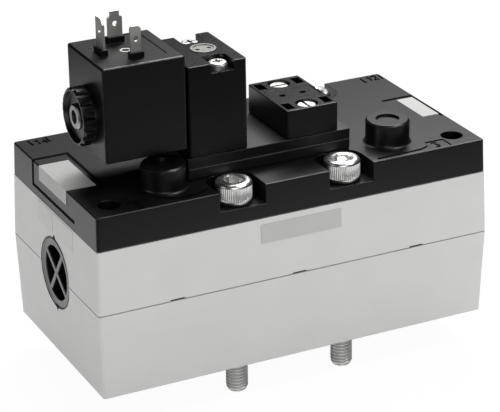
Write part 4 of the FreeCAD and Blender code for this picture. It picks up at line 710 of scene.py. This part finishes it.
# The painted pool of light fades between these shares of its radii, from its full glow to the dark
# room's.
FADE_STARTS, FADE_ENDS, PATCH_GLOW, ROOM_GLOW = 0.88, 1.08, 1.15, 0.04
WHITE_SHARE = 0.96
floor_corners = [(x * FLOOR_HALF, y * FLOOR_HALF, 0) for x, y in ((-1, -1), (1, -1), (1, 1), (-1, 1))]
floor_mesh = bpy.data.meshes.new("floor")
floor_mesh.from_pydata(floor_corners, [], [(0, 1, 2, 3)])
floor = bpy.data.objects.new("floor", floor_mesh)
floor.location.z = cad_low.z - FLOOR_GAP
bpy.context.scene.collection.objects.link(floor)


def ray_switch(tree):
    """One output that is 1 for the camera's rays, and one for those from gloss or through glass."""
    ray = add_node(tree, "LightPath")
    shiny = add_node(tree, "Math", {0: ray.outputs["Is Glossy Ray"],
                                    1: ray.outputs["Is Transmission Ray"]}, operation="MAXIMUM")
    return ray.outputs["Is Camera Ray"], shiny.outputs[0]


paper, tree, place = start_material("white_paper")
camera_ray, shiny_ray = ray_switch(tree)
centred_place = add_node(tree, "VectorMath", {0: place, 1: PATCH_MIDDLE}, operation="SUBTRACT")
ellipse = add_node(tree, "VectorMath", {0: centred_place.outputs[0], 1: PATCH_RADII},
                   operation="DIVIDE")
distance = add_node(tree, "VectorMath", {0: ellipse.outputs[0]}, operation="LENGTH")
# Painted light: a pool of glow on the paper, seen only by shiny rays.
painted_light_pool = add_node(tree, "MapRange", {"Value": distance.outputs["Value"],
                                        "From Min": FADE_STARTS, "From Max": FADE_ENDS,
                                        "To Min": PATCH_GLOW, "To Max": ROOM_GLOW})
shiny_part = add_node(tree, "Math", {0: shiny_ray, 1: painted_light_pool.outputs["Result"]},
                      operation="MULTIPLY")
seen = add_node(tree, "Math", {0: camera_ray, 1: 1.0, 2: shiny_part.outputs[0]},
                operation="MULTIPLY_ADD")
faint = add_node(tree, "Math", {0: camera_ray, 1: WHITE_SHARE}, operation="MULTIPLY")
share = add_node(tree, "Math", {0: faint.outputs[0], 1: shiny_ray}, operation="MAXIMUM")
dull = add_node(tree, "BsdfDiffuse", {"Color": linear("#f2f2f2")})
glow = add_node(tree, "Emission", {"Color": linear("#ffffff"), "Strength": seen.outputs[0]})
mix = add_node(tree, "MixShader", {"Fac": share.outputs[0], 1: dull.outputs["BSDF"],
                                   2: glow.outputs["Emission"]})
add_node(tree, "OutputMaterial", {"Surface": mix.outputs["Shader"]})
floor_mesh.materials.append(paper)
print("floor at", round(floor.location.z / MM, 1), "mm")

# %% [markdown]
# ## World
#
# The world gives soft, even light from all sides and is white to the camera. To shiny surfaces
# it is a dark room, because black plastics in a photographer's studio mirror no wall or window,
# only the lamps and the paper's painted pool of light.

# %% World
SOFT_LIGHT, DARK_ROOM, WHITE = 0.4, 0.0, 1.0
world = bpy.data.worlds.new("studio")
bpy.context.scene.world = world
world.use_nodes = True
tree = world.node_tree
tree.nodes.clear()
camera_ray, shiny_ray = ray_switch(tree)
soft = add_node(tree, "Mix", {0: shiny_ray, 2: SOFT_LIGHT, 3: DARK_ROOM}, data_type="FLOAT")
level = add_node(tree, "Mix", {0: camera_ray, 2: soft.outputs[0], 3: WHITE}, data_type="FLOAT")
sky = add_node(tree, "Background", {"Color": linear("#ffffff"), "Strength": level.outputs[0]})
add_node(tree, "OutputWorld", {"Surface": sky.outputs["Background"]})
print("soft light of strength", SOFT_LIGHT)

# %% [markdown]
# ## Lamps
#
# Five soft boxes give the surfaces their shape. The two behind the object lie in the tops of
# the black plastics, with the shadow of the coil in front. The one above, to the right, draws
# the thin light lines along the front edges and round the screw heads. The key in front and
# the weak one on the left light the grey housings.

# %% Lamps
AIM = Vector((0, 0, 0.04))
# For each lamp: power in watts, side of the box and place, in metres.
LAMPS = {"back": (7.0, 0.45, (0.14, 0.42, 0.88)), "rear_right": (3.2, 0.3, (0.42, 0.5, 0.7)),
         "overhead": (4.6, 0.3, (0.42, -0.3, 0.88)), "key": (4.2, 0.8, (-0.35, -1.2, 0.45)),
         "side": (1.7, 0.8, (-1.2, 0.1, 0.4))}


def softbox(name, watts, side, place):
    """A square area lamp at a place, turned to the valve."""
    data = bpy.data.lights.new(name, "AREA")
    data.energy = watts
    data.size = side
    lamp = bpy.data.objects.new(name, data)
    lamp.location = place
    lamp.rotation_euler = (Vector(place) - AIM).to_track_quat("Z", "Y").to_euler()
    bpy.context.scene.collection.objects.link(lamp)


for name, (watts, side, place) in LAMPS.items():
    softbox(name, watts, side, place)
print("lamps:", list(LAMPS))

# %% [markdown]
# ## Camera
#
# The camera was fitted to the photograph: direction, tilt, distance and focal length, with the
# focal length in pixels of a picture 500 pixels wide. Its axes are written out as a matrix, so
# nothing depends on the render size.

# %% Camera
AZIMUTH, ELEVATION, ROLL = math.radians(-25.962), math.radians(23.611), math.radians(-0.816)
DISTANCE, FOCAL_PIXELS, WIDTH_PIXELS = 0.805464, 2221.333, 500
TARGET = Vector((-0.043, -0.857, 42.24)) * MM
camera_data = bpy.data.cameras.new("camera")
camera = bpy.data.objects.new("camera", camera_data)
bpy.context.scene.collection.objects.link(camera)
bpy.context.scene.camera = camera
back = Vector((math.sin(AZIMUTH) * math.cos(ELEVATION), -math.cos(AZIMUTH) * math.cos(ELEVATION),
               math.sin(ELEVATION)))
right = Vector((0, 0, 1)).cross(back).normalized()
up = back.cross(right)
turned_right = right * math.cos(ROLL) + up * math.sin(ROLL)
turned_up = up * math.cos(ROLL) - right * math.sin(ROLL)
camera.matrix_world = Matrix.Translation(TARGET + back * DISTANCE) @ Matrix(
    (turned_right, turned_up, back)).transposed().to_4x4()
camera_data.sensor_width = 36.0
camera_data.lens = FOCAL_PIXELS / WIDTH_PIXELS * camera_data.sensor_width
camera_data.clip_start = 0.01
camera_data.clip_end = 20.0
bpy.context.scene.view_settings.view_transform = "Standard"
print("lens", round(camera_data.lens, 1), "mm")
